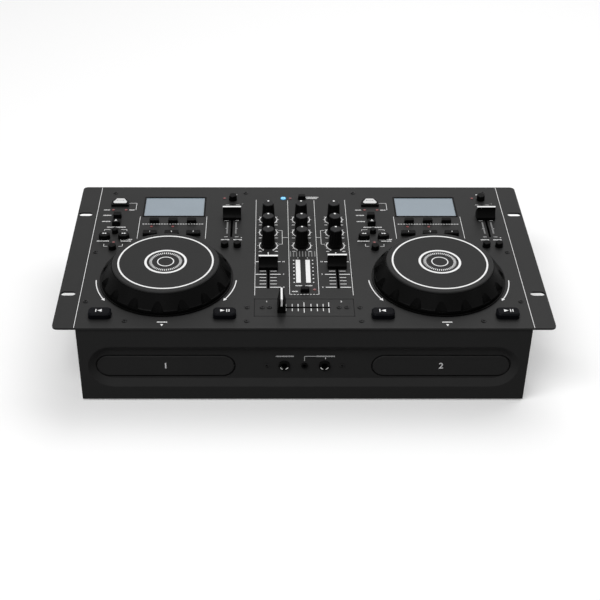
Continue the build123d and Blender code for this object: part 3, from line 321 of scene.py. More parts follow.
class Finishes:
    """The finishes of the console, by the surface that wears them."""

    plate = Finish("charcoal_plate_paint", (0.0128, 0.0128, 0.0128), 0.42, specular=0.1, grain_size=0.5,
                   grain_depth=0.012, rub=0.1, dust=0.008)
    case = Finish("black_case_paint", (0.01, 0.01, 0.01), 0.42, specular=0.1, grain_size=0.6, dust=0.004)
    front = Finish("black_front_paint", (0.028, 0.028, 0.028), 0.4, specular=0.012, grain_size=0.5,
                   grain_depth=0.015, dust=0.004)
    # black trim plastic; the painted shade band round the crossfader plate wears it too
    trim = Finish("black_trim_plastic", (0.002, 0.002, 0.002), 0.26, specular=0.06, grain_size=0.5,
                  grain_depth=0.012, dust=0.003)
    rubber = Finish("jog_rubber", (0.003, 0.003, 0.003), 0.3, specular=0.02, grain_size=0.4,
                    grain_depth=0.015, rub=0.3, dust=0.004)
    jog_top = Finish("charcoal_jog_plastic", (0.018, 0.018, 0.018), 0.42, specular=0.06, grain_size=0.4,
                     grain_depth=0.008, dust=0.004)
    key = Finish("black_key_plastic", (0.002, 0.002, 0.002), 0.32, specular=0.04, grain_size=0.35,
                 grain_depth=0.01, rub=0.25, dust=0.004)
    pad = Finish("blue_black_pad_rubber", (0.004, 0.0042, 0.0053), 0.4, specular=0.02, grain_size=0.35,
                 grain_depth=0.012, rub=0.25, dust=0.004)
    knob = Finish("knob_rubber", (0.003, 0.003, 0.003), 0.36, specular=0.05, grain_size=0.35,
                  grain_depth=0.012, dust=0.004)
    knob_top = Finish("grey_knob_cap", (0.009, 0.009, 0.0095), 0.36, specular=0.08, grain_size=0.4,
                      grain_depth=0.006, rub=0.2, dust=0.004)
    cap = Finish("black_fader_plastic", (0.0018, 0.0018, 0.0018), 0.34, specular=0.02, grain_size=0.35,
                 grain_depth=0.01, rub=0.2, dust=0.003)
    ink = Finish("white_print", (0.8, 0.8, 0.8), 0.5, specular=0.1, grain_size=0.25, grain_depth=0.004,
                 rub=0.3, dust=0.0)
    # grey print; the painted light streaks beside the pitch slots wear it too
    ink_grey = Finish("grey_print_and_painted_light", (0.18, 0.18, 0.18), 0.5, specular=0.1, grain_size=0.25,
                      grain_depth=0.004, dust=0.0)
    # white crest plastic; the painted highlight ring on each wheel wears it too
    crest = Finish("white_crest_plastic_and_painted_highlight", (0.78, 0.78, 0.775), 0.4, specular=0.2, grain_size=0.3,
                   grain_depth=0.004, dust=0.0)
    screen = Finish("pale_display_glass", (0.2, 0.245, 0.285), 0.2, coat=0.4, coat_roughness=0.06,
                    grain_size=0.35, grain_depth=0.002, unevenness=0.04, rub=0.2, dust=0.005)
    lid = Finish("white_lid_plastic", (0.6, 0.6, 0.6), 0.32, specular=0.3, grain_size=0.4,
                 grain_depth=0.006, dust=0.0)
    red_lamp = Finish("red_lamp_lens", (0.13, 0.008, 0.008), 0.22, coat=0.4, grain_size=0.3,
                      grain_depth=0.002, dust=0.0)
    blue_lamp = Finish("blue_lamp_lens", (0.02, 0.3, 0.62), 0.2, coat=0.4, grain_size=0.3, grain_depth=0.002,
                       dust=0.0, glow=0.35)
    window = Finish("milky_meter_window", (0.7, 0.7, 0.7), 0.25, coat=0.2, grain_size=0.3,
                    grain_depth=0.002, dust=0.0)
    screw = Finish("blackened_steel", (0.003, 0.003, 0.003), 0.3, specular=0.14, grain_size=0.3,
                   grain_depth=0.006, rub=0.4, rub_size=4.0, dust=0.0)
    plated = Finish("nickel_plate", (0.45, 0.45, 0.44), 0.24, metallic=1.0, grain_size=0.4, grain_depth=0.003,
                    rub=0.3, rub_size=5.0, dust=0.0)
    # dark socket plastic; the painted shade round the doors and in the screw recesses wears it too
    socket = Finish("dark_socket_plastic_and_painted_shade", (0.003, 0.003, 0.003), 0.36, specular=0.02, grain_size=0.4,
                    grain_depth=0.01, dust=0.0)
    blue_core = Finish("pale_blue_lamp_ring", (0.3, 0.62, 0.78), 0.2, coat=0.4, grain_size=0.3,
                       grain_depth=0.002, dust=0.0, glow=0.3)
    red_ring = Finish("red_jack_ring", (0.4, 0.02, 0.02), 0.4, grain_size=0.4, grain_depth=0.006, dust=0.0)
    pale_ring = Finish("white_jack_ring", (0.7, 0.7, 0.69), 0.4, grain_size=0.4, grain_depth=0.006, dust=0.0)
    foot = Finish("foot_rubber", (0.008, 0.008, 0.008), 0.7, specular=0.2, grain_size=0.6, grain_depth=0.03,
                  rub=0.3)
    board = Finish("green_board_resin", (0.02, 0.11, 0.05), 0.4, grain_size=0.8, grain_depth=0.02)
    loader = Finish("loader_plastic", (0.02, 0.02, 0.021), 0.45, grain_size=0.6, grain_depth=0.02)
    tray = Finish("tray_plastic", (0.01, 0.01, 0.01), 0.34, specular=0.3, grain_size=0.5, grain_depth=0.015,
                  rub=0.25)
    gear = Finish("white_gear_plastic", (0.7, 0.69, 0.65), 0.45, grain_size=0.4, grain_depth=0.006)
    rocker = Finish("glossy_rocker_plastic", (0.006, 0.006, 0.006), 0.2, specular=0.4, grain_size=0.5,
                    grain_depth=0.005)


# ------------------------------------------------------------------ shapes
@dataclass(frozen=True)
class Extent:
    """The box of a CAD node, in millimetres."""

    low: Vector
    high: Vector

    @classmethod
    def of(cls, node: str) -> "Extent":
        """Returns the box of a node."""
        low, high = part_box(node)
        return cls(Vector(low) / MM, Vector(high) / MM)

    @property
    def middle(self) -> Vector:
        """The middle of the box."""
        return (self.low + self.high) / 2

    @property
    def size(self) -> Vector:
        """The size of the box."""
        return self.high - self.low


def placed(name: str, data: bpy.types.ID) -> bpy.types.Object:
    """Puts a new object into the scene.

    Args:
        name: Its name.
        data: Its mesh, lamp or camera.

    Returns:
        The object.
    """
    thing = bpy.data.objects.new(name, data)
    bpy.context.scene.collection.objects.link(thing)
    return thing


class Shape:
    """A mesh in the making, in millimetres of the row frame, that is built in flat layers."""

    def __init__(self, low: float = 0.0, high: float = 0.0) -> None:
        """Args:
            low: Height of the first layer's underside.
            high: Height of its top.
        """
        self.mesh = bmesh.new()
        self.layer(low, high)

    def layer(self, low: float, high: float) -> "Shape":
        """Sets the underside and the top of what is added next, and returns this shape."""
        self.low, self.high = low, high
        return self

    def slab(self, outline: Iterable[Point]) -> "Shape":
        """Adds a flat piece with an outline.

        Args:
            outline: Corners in turn, seen from above.

        Returns:
            This shape.
        """
        corners = list(outline)
        below = [self.mesh.verts.new((x, y, self.low)) for x, y in corners]
        above = [self.mesh.verts.new((x, y, self.high)) for x, y in corners]
        self.mesh.faces.new(reversed(below))
        self.mesh.faces.new(above)
        for index, corner in enumerate(below):
            after = (index + 1) % len(below)
            self.mesh.faces.new((corner, below[after], above[after], above[index]))
        return self

    def bar(self, x: float, y: float, width: float, depth: float, turn: float = 0.0) -> "Shape":
        """Adds a flat bar.

        Args:
            x, y: Middle of the bar.
            width: Size along its own X.
            depth: Size along its own Y.
            turn: Degrees that it is turned about its middle.

        Returns:
            This shape.
        """
        c, s = math.cos(math.radians(turn)), math.sin(math.radians(turn))
        corners = []
        for u, v in ((-1, -1), (1, -1), (1, 1), (-1, 1)):
            a, b = u * width / 2, v * depth / 2
            corners.append((x + a * c - b * s, y + a * s + b * c))
        return self.slab(corners)

    def _section(self, x: float, y: float, angle: float, inner: float, outer: float) -> list:
        """Adds the four corners of a band's cross-section.

        Args:
            x: Centre that the band bends round.
            y: Centre that the band bends round.
            angle: Direction of the section from there, in radians.
            inner: Inner radius.
            outer: Outer radius.

        Returns:
            The four corners in turn.
        """
        c, s = math.cos(angle), math.sin(angle)
        return [self.mesh.verts.new((x + r * c, y + r * s, z)) for r, z in
                ((inner, self.low), (outer, self.low), (outer, self.high), (inner, self.high))]

    def _skin(self, rows: list[list], whole: bool) -> "Shape":
        """Joins the cross-sections of a band.

        Args:
            rows: The sections in turn.
            whole: Whether the last meets the first; if not, both ends are closed.

        Returns:
            This shape.
        """
        for first, second in zip(rows, rows[1:] + rows[:1] if whole else rows[1:]):
            for index in range(4):
                after = (index + 1) % 4
                self.mesh.faces.new((first[index], second[index], second[after], first[after]))
        if not whole:
            self.mesh.faces.new(rows[0])
            self.mesh.faces.new(reversed(rows[-1]))
        return self

    def ring(self, x: float, y: float, inner: float, outer: float, start: float = 0.0,
             end: float = 360.0) -> "Shape":
        """Adds a flat ring or a stretch of one.

        Args:
            x, y: Centre.
            inner: Inner radius.
            outer: Outer radius.
            start: Angle in degrees where it begins.
            end: Angle in degrees where it ends.

        Returns:
            This shape.
        """
        whole = end - start >= 360
        steps = max(6, int((end - start) / 360 * max(48, outer * 6)))
        angles = (math.radians(start + (end - start) * index / steps)
                  for index in range(steps if whole else steps + 1))
        return self._skin([self._section(x, y, angle, inner, outer) for angle in angles], whole)

    def hoop(self, box: Extent, inner: float, outer: float) -> "Shape":
        """Adds a flat band that follows a long outline with round ends.

        Args:
            box: Box of what it goes round, which lies along X and stands up along Z.
            inner: Distance from that outline to the band's inner edge.
            outer: Distance from that outline to the band's outer edge.

        Returns:
            This shape.
        """
        steps, rows, radius = 20, [], box.size.z / 2
        for end in (1, -1):
            x = box.middle.x + end * (box.size.x - box.size.z) / 2
            for index in range(steps + 1):
                angle = math.radians(180 * index / steps - 90 * end)
                rows.append(self._section(x, box.middle.z, angle, radius + inner, radius + outer))
        return self._skin(rows, whole=True)

    def disc(self, x: float, y: float, radius: float) -> "Shape":
        """Adds a flat disc.

        Args:
            x, y: Centre.
            radius: Its radius.

        Returns:
            This shape.
        """
        steps = max(16, int(radius * 8))
        turns = (math.tau * index / steps for index in range(steps))
        return self.slab([(x + radius * math.cos(a), y + radius * math.sin(a)) for a in turns])

    def digits(self, text: str, x: float, y: float, height: float) -> "Shape":
        """Adds plain numbers.

        Args:
            text: The digits.
            x, y: Middle of the text.
            height: Height of a digit.

        Returns:
            This shape.
        """
        curve = bpy.data.curves.new("digits", "FONT")
        curve.body = text
        curve.size = height * 1.4
        curve.resolution_u = 3
        curve.extrude = (self.high - self.low) / 2
        curve.offset = height * 0.02
        curve.align_x = "CENTER"
        curve.align_y = "CENTER"
        holder = bpy.data.objects.new("digits", curve)
        mesh = bpy.data.meshes.new_from_object(holder)
        mesh.transform(Matrix.Translation((x, y, (self.low + self.high) / 2)))
        self.mesh.from_mesh(mesh)
        bpy.data.objects.remove(holder)
        bpy.data.curves.remove(curve)
        bpy.data.meshes.remove(mesh)
        return self

    def path(self, *corners: Point, width: float = 0.45) -> "Shape":
        """Draws a line.

        Args:
            corners: The line's corners.
            width: Its width.

        Returns:
            This shape.
        """
        for (x1, y1), (x2, y2) in zip(corners, corners[1:]):
            length = math.hypot(x2 - x1, y2 - y1) + width
            turn = math.degrees(math.atan2(y2 - y1, x2 - x1))
            self.bar((x1 + x2) / 2, (y1 + y2) / 2, length, width, turn)
        return self

    def strokes(self, x: float, y: float, length: float, height: float = 1.8) -> "Shape":
        """Draws a row of small upright strokes, as fine print looks from afar.

        Args:
            x, y: Middle of the row.
            length: Length of the row.
            height: Height of a stroke; every third one is lower.

        Returns:
            This shape.
        """
        pitch, width, low_share = 0.95, 0.62, 0.72
        count = max(2, round(length / pitch))
        for index in range(count):
            tall = height * (1.0 if index % 3 else low_share)
            self.bar(x + (index - (count - 1) / 2) * length / count, y, width, tall)
        return self

    def dashes(self, x: float, y: float, length: float, count: int, size: Point) -> "Shape":
        """Draws an even row of dashes.

        Args:
            x, y: Middle of the row.
            length: Length of the row.
            count: Number of dashes.
            size: Width and depth of a dash.

        Returns:
            This shape.
        """
        for index in range(count):
            self.bar(x + (index - (count - 1) / 2) * length / count, y, *size)
        return self

    def triangle(self, x: float, y: float, size: float, turn: float) -> "Shape":
        """Draws a filled triangle.

        Args:
            x, y: Its middle.
            size: Distance from there to a corner.
            turn: Direction in degrees that it points in.

        Returns:
            This shape.
        """
        angles = (math.radians(turn + corner) for corner in (0, 130, 230))
        return self.slab([(x + size * math.cos(a), y + size * math.sin(a)) for a in angles])

    def fan(self, x: float, y: float, inner: float, outer: float, angles: Iterable[float],
            width: float = 0.45) -> "Shape":
        """Draws ticks that point away from a centre.

        Args:
            x, y: Centre.
            inner: Radius where a tick begins.
            outer: Radius where it ends.
            angles: Angle of each tick in degrees.
            width: Width of a tick.

        Returns:
            This shape.
        """
        middle = (inner + outer) / 2
        for angle in angles:
            c, s = math.cos(math.radians(angle)), math.sin(math.radians(angle))
            self.bar(x + middle * c, y + middle * s, outer - inner, width, angle)
        return self

    def moved(self, matrix: Matrix) -> "Shape":
        """Moves everything built so far, and returns this shape."""
        bmesh.ops.transform(self.mesh, matrix=matrix, verts=self.mesh.verts)
        return self

    def piece(self, name: str, body: str, finish: Finish, slot: str) -> None:
        """Turns the shape into a piece of the console.

        Args:
            name: Name of the piece.
            body: CAD body that it rides on.
            finish: What it wears.
            slot: The record's material slot; not used.
        """
        bmesh.ops.remove_doubles(self.mesh, verts=self.mesh.verts, dist=1e-5)
        bmesh.ops.recalc_face_normals(self.mesh, faces=self.mesh.faces)
        bmesh.ops.scale(self.mesh, vec=(MM, MM, MM), verts=self.mesh.verts)
        mesh = bpy.data.meshes.new(name)
        self.mesh.to_mesh(mesh)
        self.mesh.free()
        piece = placed(name, mesh)
        mesh.materials.append(finish.material())
        mesh.shade_smooth()
        mesh.set_sharp_from_angle(angle=math.radians(SHARP_ANGLE))
        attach(piece, body)
        log.info("%s: %d faces, on %s", name, len(mesh.polygons), body)


def ink_on(surface: float) -> Shape:
    """Returns an empty print for a surface that looks up at that height."""
    return Shape(surface - PRINT_SINK, surface + PRINT_HEIGHT)


# ------------------------------------------------------------------ CAD nodes
def body_of(node: str) -> str:
    """Returns the name of the body that a CAD node belongs to."""
    bodies = frame["record"]["behaviour"]["bodies"]
    return next(body for body, nodes in bodies.items() if node in nodes)


def slot_of(node: str) -> str:
    """Returns the record's material slot of a CAD node."""
    return next(part["material_slot"] for part in frame["record"]["subparts"] if part["node"] == node)


def dress(node: str, finish: Finish) -> None:
    """Gives a carried-over CAD node its finish.

    Args:
        node: The CAD node.
        finish: What it wears.
    """
    for place in frame["nodes"][node].material_slots:
        place.link = "OBJECT"
        place.material = finish.material()
    log.info("%s wears %s", node, finish.name)


def solids_of(mesh: bpy.types.Mesh) -> Iterator[tuple[Extent, list[int]]]:
    """Splits a node's mesh into its solids.

    Args:
        mesh: The node's mesh, in metres.

    Yields:
        The box of each solid in millimetres, and the indices of its faces.
    """
    keys = [tuple(round(axis, 6) for axis in vertex.co) for vertex in mesh.vertices]
    leader = {key: key for key in keys}

    def head(key: Corner) -> Corner:
        """Follows a corner to the corner that stands for its solid."""
        while leader[key] != key:
            leader[key] = leader[leader[key]]
            key = leader[key]
        return key

    for polygon in mesh.polygons:
        first = head(keys[polygon.vertices[0]])
        for index in polygon.vertices:
            leader[head(keys[index])] = first
    groups: dict[Corner, list[int]] = {}
    for polygon in mesh.polygons:
        groups.setdefault(head(keys[polygon.vertices[0]]), []).append(polygon.index)
    for faces in groups.values():
        axes = list(zip(*(keys[index] for face in faces for index in mesh.polygons[face].vertices)))
        yield Extent(Vector(map(min, axes)) / MM, Vector(map(max, axes)) / MM), faces


def boxes_in(node: str) -> list[Extent]:
    """Returns the box of each solid of a CAD node."""
    return [box for box, _ in solids_of(frame["nodes"][node].data)]


def recast(node: str, finishes: Sequence[Finish], choose: Callable[[Extent], int]) -> None:
    """Replaces a CAD node by the same shape with a finish for each of its solids.

    Args:
        node: The CAD node.
        finishes: The finishes to choose from.
        choose: Given the box of a solid, returns the place of its finish in that list.
    """
    made = frame["nodes"][node].data.copy()
    made.name = f"{node}_finished"
    made.materials.clear()
    for finish in finishes:
        made.materials.append(finish.material())
    for box, faces in solids_of(made):
        pick = choose(box)
        for face in faces:
            made.polygons[face].material_index = pick
    piece = placed(f"{node}_finished", made)
    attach(piece, body_of(node))
    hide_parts(node)
    slot_of(node)
    log.info("%s recast in %d finishes", node, len(finishes))


def lay_crest(node: str, name: str, x: float) -> None:
    """Lays the white bar along the crest of a fader cap that slides in depth.

    Args:
        node: The cap's CAD node.
        name: Name of the bar.
        x: Middle of the bar.
    """
    box = Extent.of(node)
    bar = Shape(box.high.z - CREST_DEPTH, box.high.z + CREST_PROUD)
    bar.bar(x, box.middle.y, box.size.x + 2 * CREST_PROUD, CREST_WIDTH)
    bar.piece(name, body_of(node), Finishes.crest, slot_of(node))


# ------------------------------------------------------------------ the two decks
@dataclass
class Deck:
    """One disc player: its wheel, display, keys, pitch fader and the print round them.

    Places across are from the deck's middle line, and places in depth are in the row frame.
    """

    side: Side
    guide_line_x: float = 36.0
    guide_line_y: Span = (26.0, 70.0)
    display_label_y: float = 54.8
    display_label_length: float = 66.0
    display_dashes: int = 23
    display_dash: Point = (1.9, 0.9)
    loop_label_x: tuple[float, ...] = (-22.5, 0.3, 23.0)
    loop_label_y: float = 42.0
    loop_label_length: float = 9.0
    loop_number_x: tuple[float, ...] = (-23.0, 0.0, 23.0)
    lid_bracket: tuple[Point, ...] = ((-50.0, 98.0), (-42.0, 98.0), (-42.0, 84.0))
    label_rows: tuple[Row, ...] = (
        (-73.5, 83.7, 7.0), (-46.5, 83.7, 6.0), (-72.1, 72.6, 8.8), (-72.0, 60.0, 9.0), (-60.0, 48.4, 20.0),
        (-71.5, 21.0, 13.0), (-47.5, 24.0, 13.0), (-47.5, 21.0, 11.0), (0.5, -123.0, 10.0))
    search_middle_x: float = -60.0
    search_brackets: tuple[tuple[Point, ...], ...] = (
        ((6.0, 43.6), (12.0, 43.6), (12.0, 41.6)), ((6.0, 10.8), (9.7, 10.8), (9.7, 15.0)))
    search_key_width: float = 9.0
    front_mark: Point = (0.5, -127.6)
    front_mark_size: float = 1.9
    # painted highlight: white ring near the touch plate's edge, where its chamfer catches the light
    wheel_ring: Span = (46.3, 48.0)
    centre_ring: Span = (18.9, 21.2)
    centre_ticks: Span = (13.6, 16.4)
    centre_tick_count: int = 48
    centre_core: Span = (7.5, 8.5)
    arrow_radius: float = 70.5
    arrow_half_width: float = 0.5
    arrow_angles: Span = (183.5, 211.0)
    arrow_head: float = 2.4
    arrow_head_lead: float = 1.4
    pitch_x: float = 63.3
    pitch_ticks_y: tuple[float, ...] = (94.6, 78.3, 62.0, 45.7, 29.4)
    pitch_tick_x: float = 4.0
    pitch_tick_length: float = 3.4
    pitch_short_share: float = 0.6
    pitch_labels: tuple[Point, ...] = ((0.0, 116.5), (-6.4, 23.7), (6.7, 23.7))
    pitch_label_length: float = 9.0
    pitch_sign_x: float = 10.7
    pitch_signs_y: tuple[tuple[str, float], ...] = (("+", 27.6), ("-", 97.0))
    # painted light: place of the lit streaks at both sides of the pitch slot
    pitch_strip_x: float = 4.6
    pitch_strip_y: Span = (36.5, 58.0)
    middle_x: float = field(init=False)
    jog_y: float = field(init=False)
    plate: float = field(init=False)

    def __post_init__(self) -> None:
        """Takes the deck's place from the frame."""
        wheel = Extent.of(self.node("jog_plate"))
        self.middle_x, self.jog_y = wheel.middle.x, wheel.middle.y
        self.plate = Extent.of("top_plate").high.z

    def node(self, name: str) -> str:
        """Returns the CAD node of this deck with that name."""
        return f"{self.side.value}_{name}"

    def build(self) -> None:
        """Builds and dresses everything on the deck."""
        self._dress()
        self._print_plate()
        self._print_pitch_scale()
        self._print_wheel()
        self._print_keys()
        lay_crest(self.node("pitch_cap"), self.node("pitch_crest"), self.middle_x + self.pitch_x)

    def _dress(self) -> None:
        """Gives the carried-over nodes their finishes."""
        wears = {"jog_skirt": Finishes.rubber, "jog_plate": Finishes.jog_top, "disc_tray": Finishes.tray,
                 "tray_door": Finishes.front, "loader_gear": Finishes.gear, "cue_key": Finishes.pad,
                 "play_key": Finishes.pad, "pitch_cap": Finishes.cap}
        wears |= {name: Finishes.key for name in ("select_key", "eject_key", "search_keys", "jog_mode_key",
                                                  "display_keys", "loop_keys", "pitch_keys")}
        for name, finish in wears.items():
            dress(self.node(name), finish)

    def _print_plate(self) -> None:
        """Prints the lines, label rows and symbols of the plate round the deck's controls."""
        x, ink = self.middle_x, ink_on(self.plate)
        front, rear = self.guide_line_y
        for line_x in (x - self.guide_line_x, x + self.guide_line_x):
            ink.path((line_x, front), (line_x, rear))
        ink.dashes(x, self.display_label_y, self.display_label_length, self.display_dashes, self.display_dash)
        for shift in self.loop_label_x:
            ink.strokes(x + shift, self.loop_label_y, self.loop_label_length)
        ink.path(*((x + shift, y) for shift, y in self.lid_bracket))
        for shift, y, length in self.label_rows:
            ink.strokes(x + shift, y, length)
        for side in (-1, 1):
            for bracket in self.search_brackets:
                ink.path(*((x + self.search_middle_x + side * shift, y) for shift, y in bracket))
        ink.triangle(x + self.front_mark[0], self.front_mark[1], self.front_mark_size, -90)
        self._arrows(ink)
        ink.piece(self.node("deck_print"), "console", Finishes.ink, "plate_steel")

    def _arrows(self, ink: Shape) -> None:
        """Prints the curved arrows at both sides of the wheel.

        Args:
            ink: The print that they go into.
        """
        x, y, radius, half = self.middle_x, self.jog_y, self.arrow_radius, self.arrow_half_width
        start, end = self.arrow_angles
        mirror = 540  # an angle taken from it is mirrored across the wheel's middle line
        ink.ring(x, y, radius - half, radius + half, start, end)
        ink.ring(x, y, radius - half, radius + half, mirror - end, mirror - start)
        lead = self.arrow_head_lead
        for angle, turn in ((end + lead, end + 91), (mirror - end - lead, mirror - end - 91)):
            a = math.radians(angle)
            ink.triangle(x + radius * math.cos(a), y + radius * math.sin(a), self.arrow_head, turn)

    def _print_pitch_scale(self) -> None:
        """Prints the pitch fader's ticks and labels, and grey streaks of painted light at both sides of its
        slot, where the plate is lit between the cap's shadows.
        """
        x, ink = self.middle_x + self.pitch_x, ink_on(self.plate)
        for order, y in enumerate(self.pitch_ticks_y):
            length = self.pitch_tick_length * (self.pitch_short_share if order % 2 else 1)
            for side in (-1, 1):
                ink.path((x + side * self.pitch_tick_x, y), (x + side * (self.pitch_tick_x + length), y),
                         width=0.5)
        for shift, y in self.pitch_labels:
            ink.strokes(x + shift, y, self.pitch_label_length)
        for sign, y in self.pitch_signs_y:
            ink.digits(sign, x + self.pitch_sign_x, y, 2.4)
        ink.piece(self.node("pitch_print"), "console", Finishes.ink, "plate_steel")
        # painted light: lighter grey streaks beside the slot, where the plate is lit between the cap's two
        # cast shadows
        lit_streaks = ink_on(self.plate)
        front, rear = self.pitch_strip_y
        for streak_middle_x in (x - self.pitch_strip_x, x + self.pitch_strip_x):
            lit_streaks.path((streak_middle_x, front), (streak_middle_x, rear), width=1.6)
        lit_streaks.piece(self.node("pitch_strips"), "console", Finishes.ink_grey, "plate_steel")

    def _print_wheel(self) -> None:
        """Prints the rings and ticks of the wheel's touch plate; the outer white ring is a painted highlight
        along the chamfer at the plate's edge.
        """
        x, y, count = self.middle_x, self.jog_y, self.centre_tick_count
        ink = ink_on(Extent.of(self.node("jog_plate")).high.z)
        # painted highlight: the first ring lies near the touch plate's edge, where its chamfer catches the
        # light
        ink.ring(x, y, *self.wheel_ring).ring(x, y, *self.centre_ring)
        ink.fan(x, y, *self.centre_ticks, (index * 360 / count for index in range(count)), width=0.8)
        ink.ring(x, y, *self.centre_core)
        ink.piece(self.node("wheel_print"), f"{self.side.value}_jog", Finishes.crest, "jog_plate")

    def _print_keys(self) -> None:
        """Prints the symbols on the tops of the keys."""
        for key, draw in (("play_key", self._play_symbol), ("cue_key", self._cue_symbol),
                          ("eject_key", self._eject_symbol), ("search_keys", self._search_symbols),
                          ("loop_keys", self._loop_numbers)):
            node = self.node(key)
            box = Extent.of(node)
            ink = ink_on(box.high.z)
            draw(ink, box.middle.x, box.middle.y)
            ink.piece(self.node(f"{key.split('_')[0]}_print"), body_of(node), Finishes.ink, slot_of(node))

    def _play_symbol(self, ink: Shape, x: float, y: float) -> None:
        """Draws a triangle and two bars about the middle of the key.

        Args:
            ink: The print that they go into.
            x, y: Middle of the key.
        """
        ink.triangle(x - 2.4, y, 2.6, 0)
        for shift in (2.2, 4.4):
            ink.path((x + shift, y - 1.6), (x + shift, y + 1.6), width=0.9)

    def _cue_symbol(self, ink: Shape, x: float, y: float) -> None:
        """Draws a bar and a triangle that points at it, about the middle of the key."""
        ink.path((x - 3.4, y - 1.7), (x - 3.4, y + 1.7), width=0.9).triangle(x + 0.6, y, 2.6, 180)

    def _eject_symbol(self, ink: Shape, x: float, y: float) -> None:
        """Draws a triangle over a bar, about the middle of the key."""
        ink.triangle(x, y + 0.3, 1.5, 90).path((x - 1.4, y - 1.4), (x + 1.4, y - 1.4), width=0.5)

    def _search_symbols(self, ink: Shape, *_: float) -> None:
        """Draws two triangles on each wide key of the group, which point away from its middle line.

        Args:
            ink: The print that they go into.
        """
        for box in boxes_in(self.node("search_keys")):
            side = -1 if box.middle.x < self.middle_x + self.search_middle_x else 1
            if box.size.x > self.search_key_width:
                for shift in (-1.0, 1.4):
                    ink.triangle(box.middle.x + shift * side, box.middle.y + 1.2, 1.5, 90 - side * 90)

    def _loop_numbers(self, ink: Shape, _: float, y: float) -> None:
        """Numbers the three loop keys, from the deck's middle line and the middle of the keys."""
        for number, shift in enumerate(self.loop_number_x, start=1):
            ink.digits(str(number), self.middle_x + shift, y, 2.2)


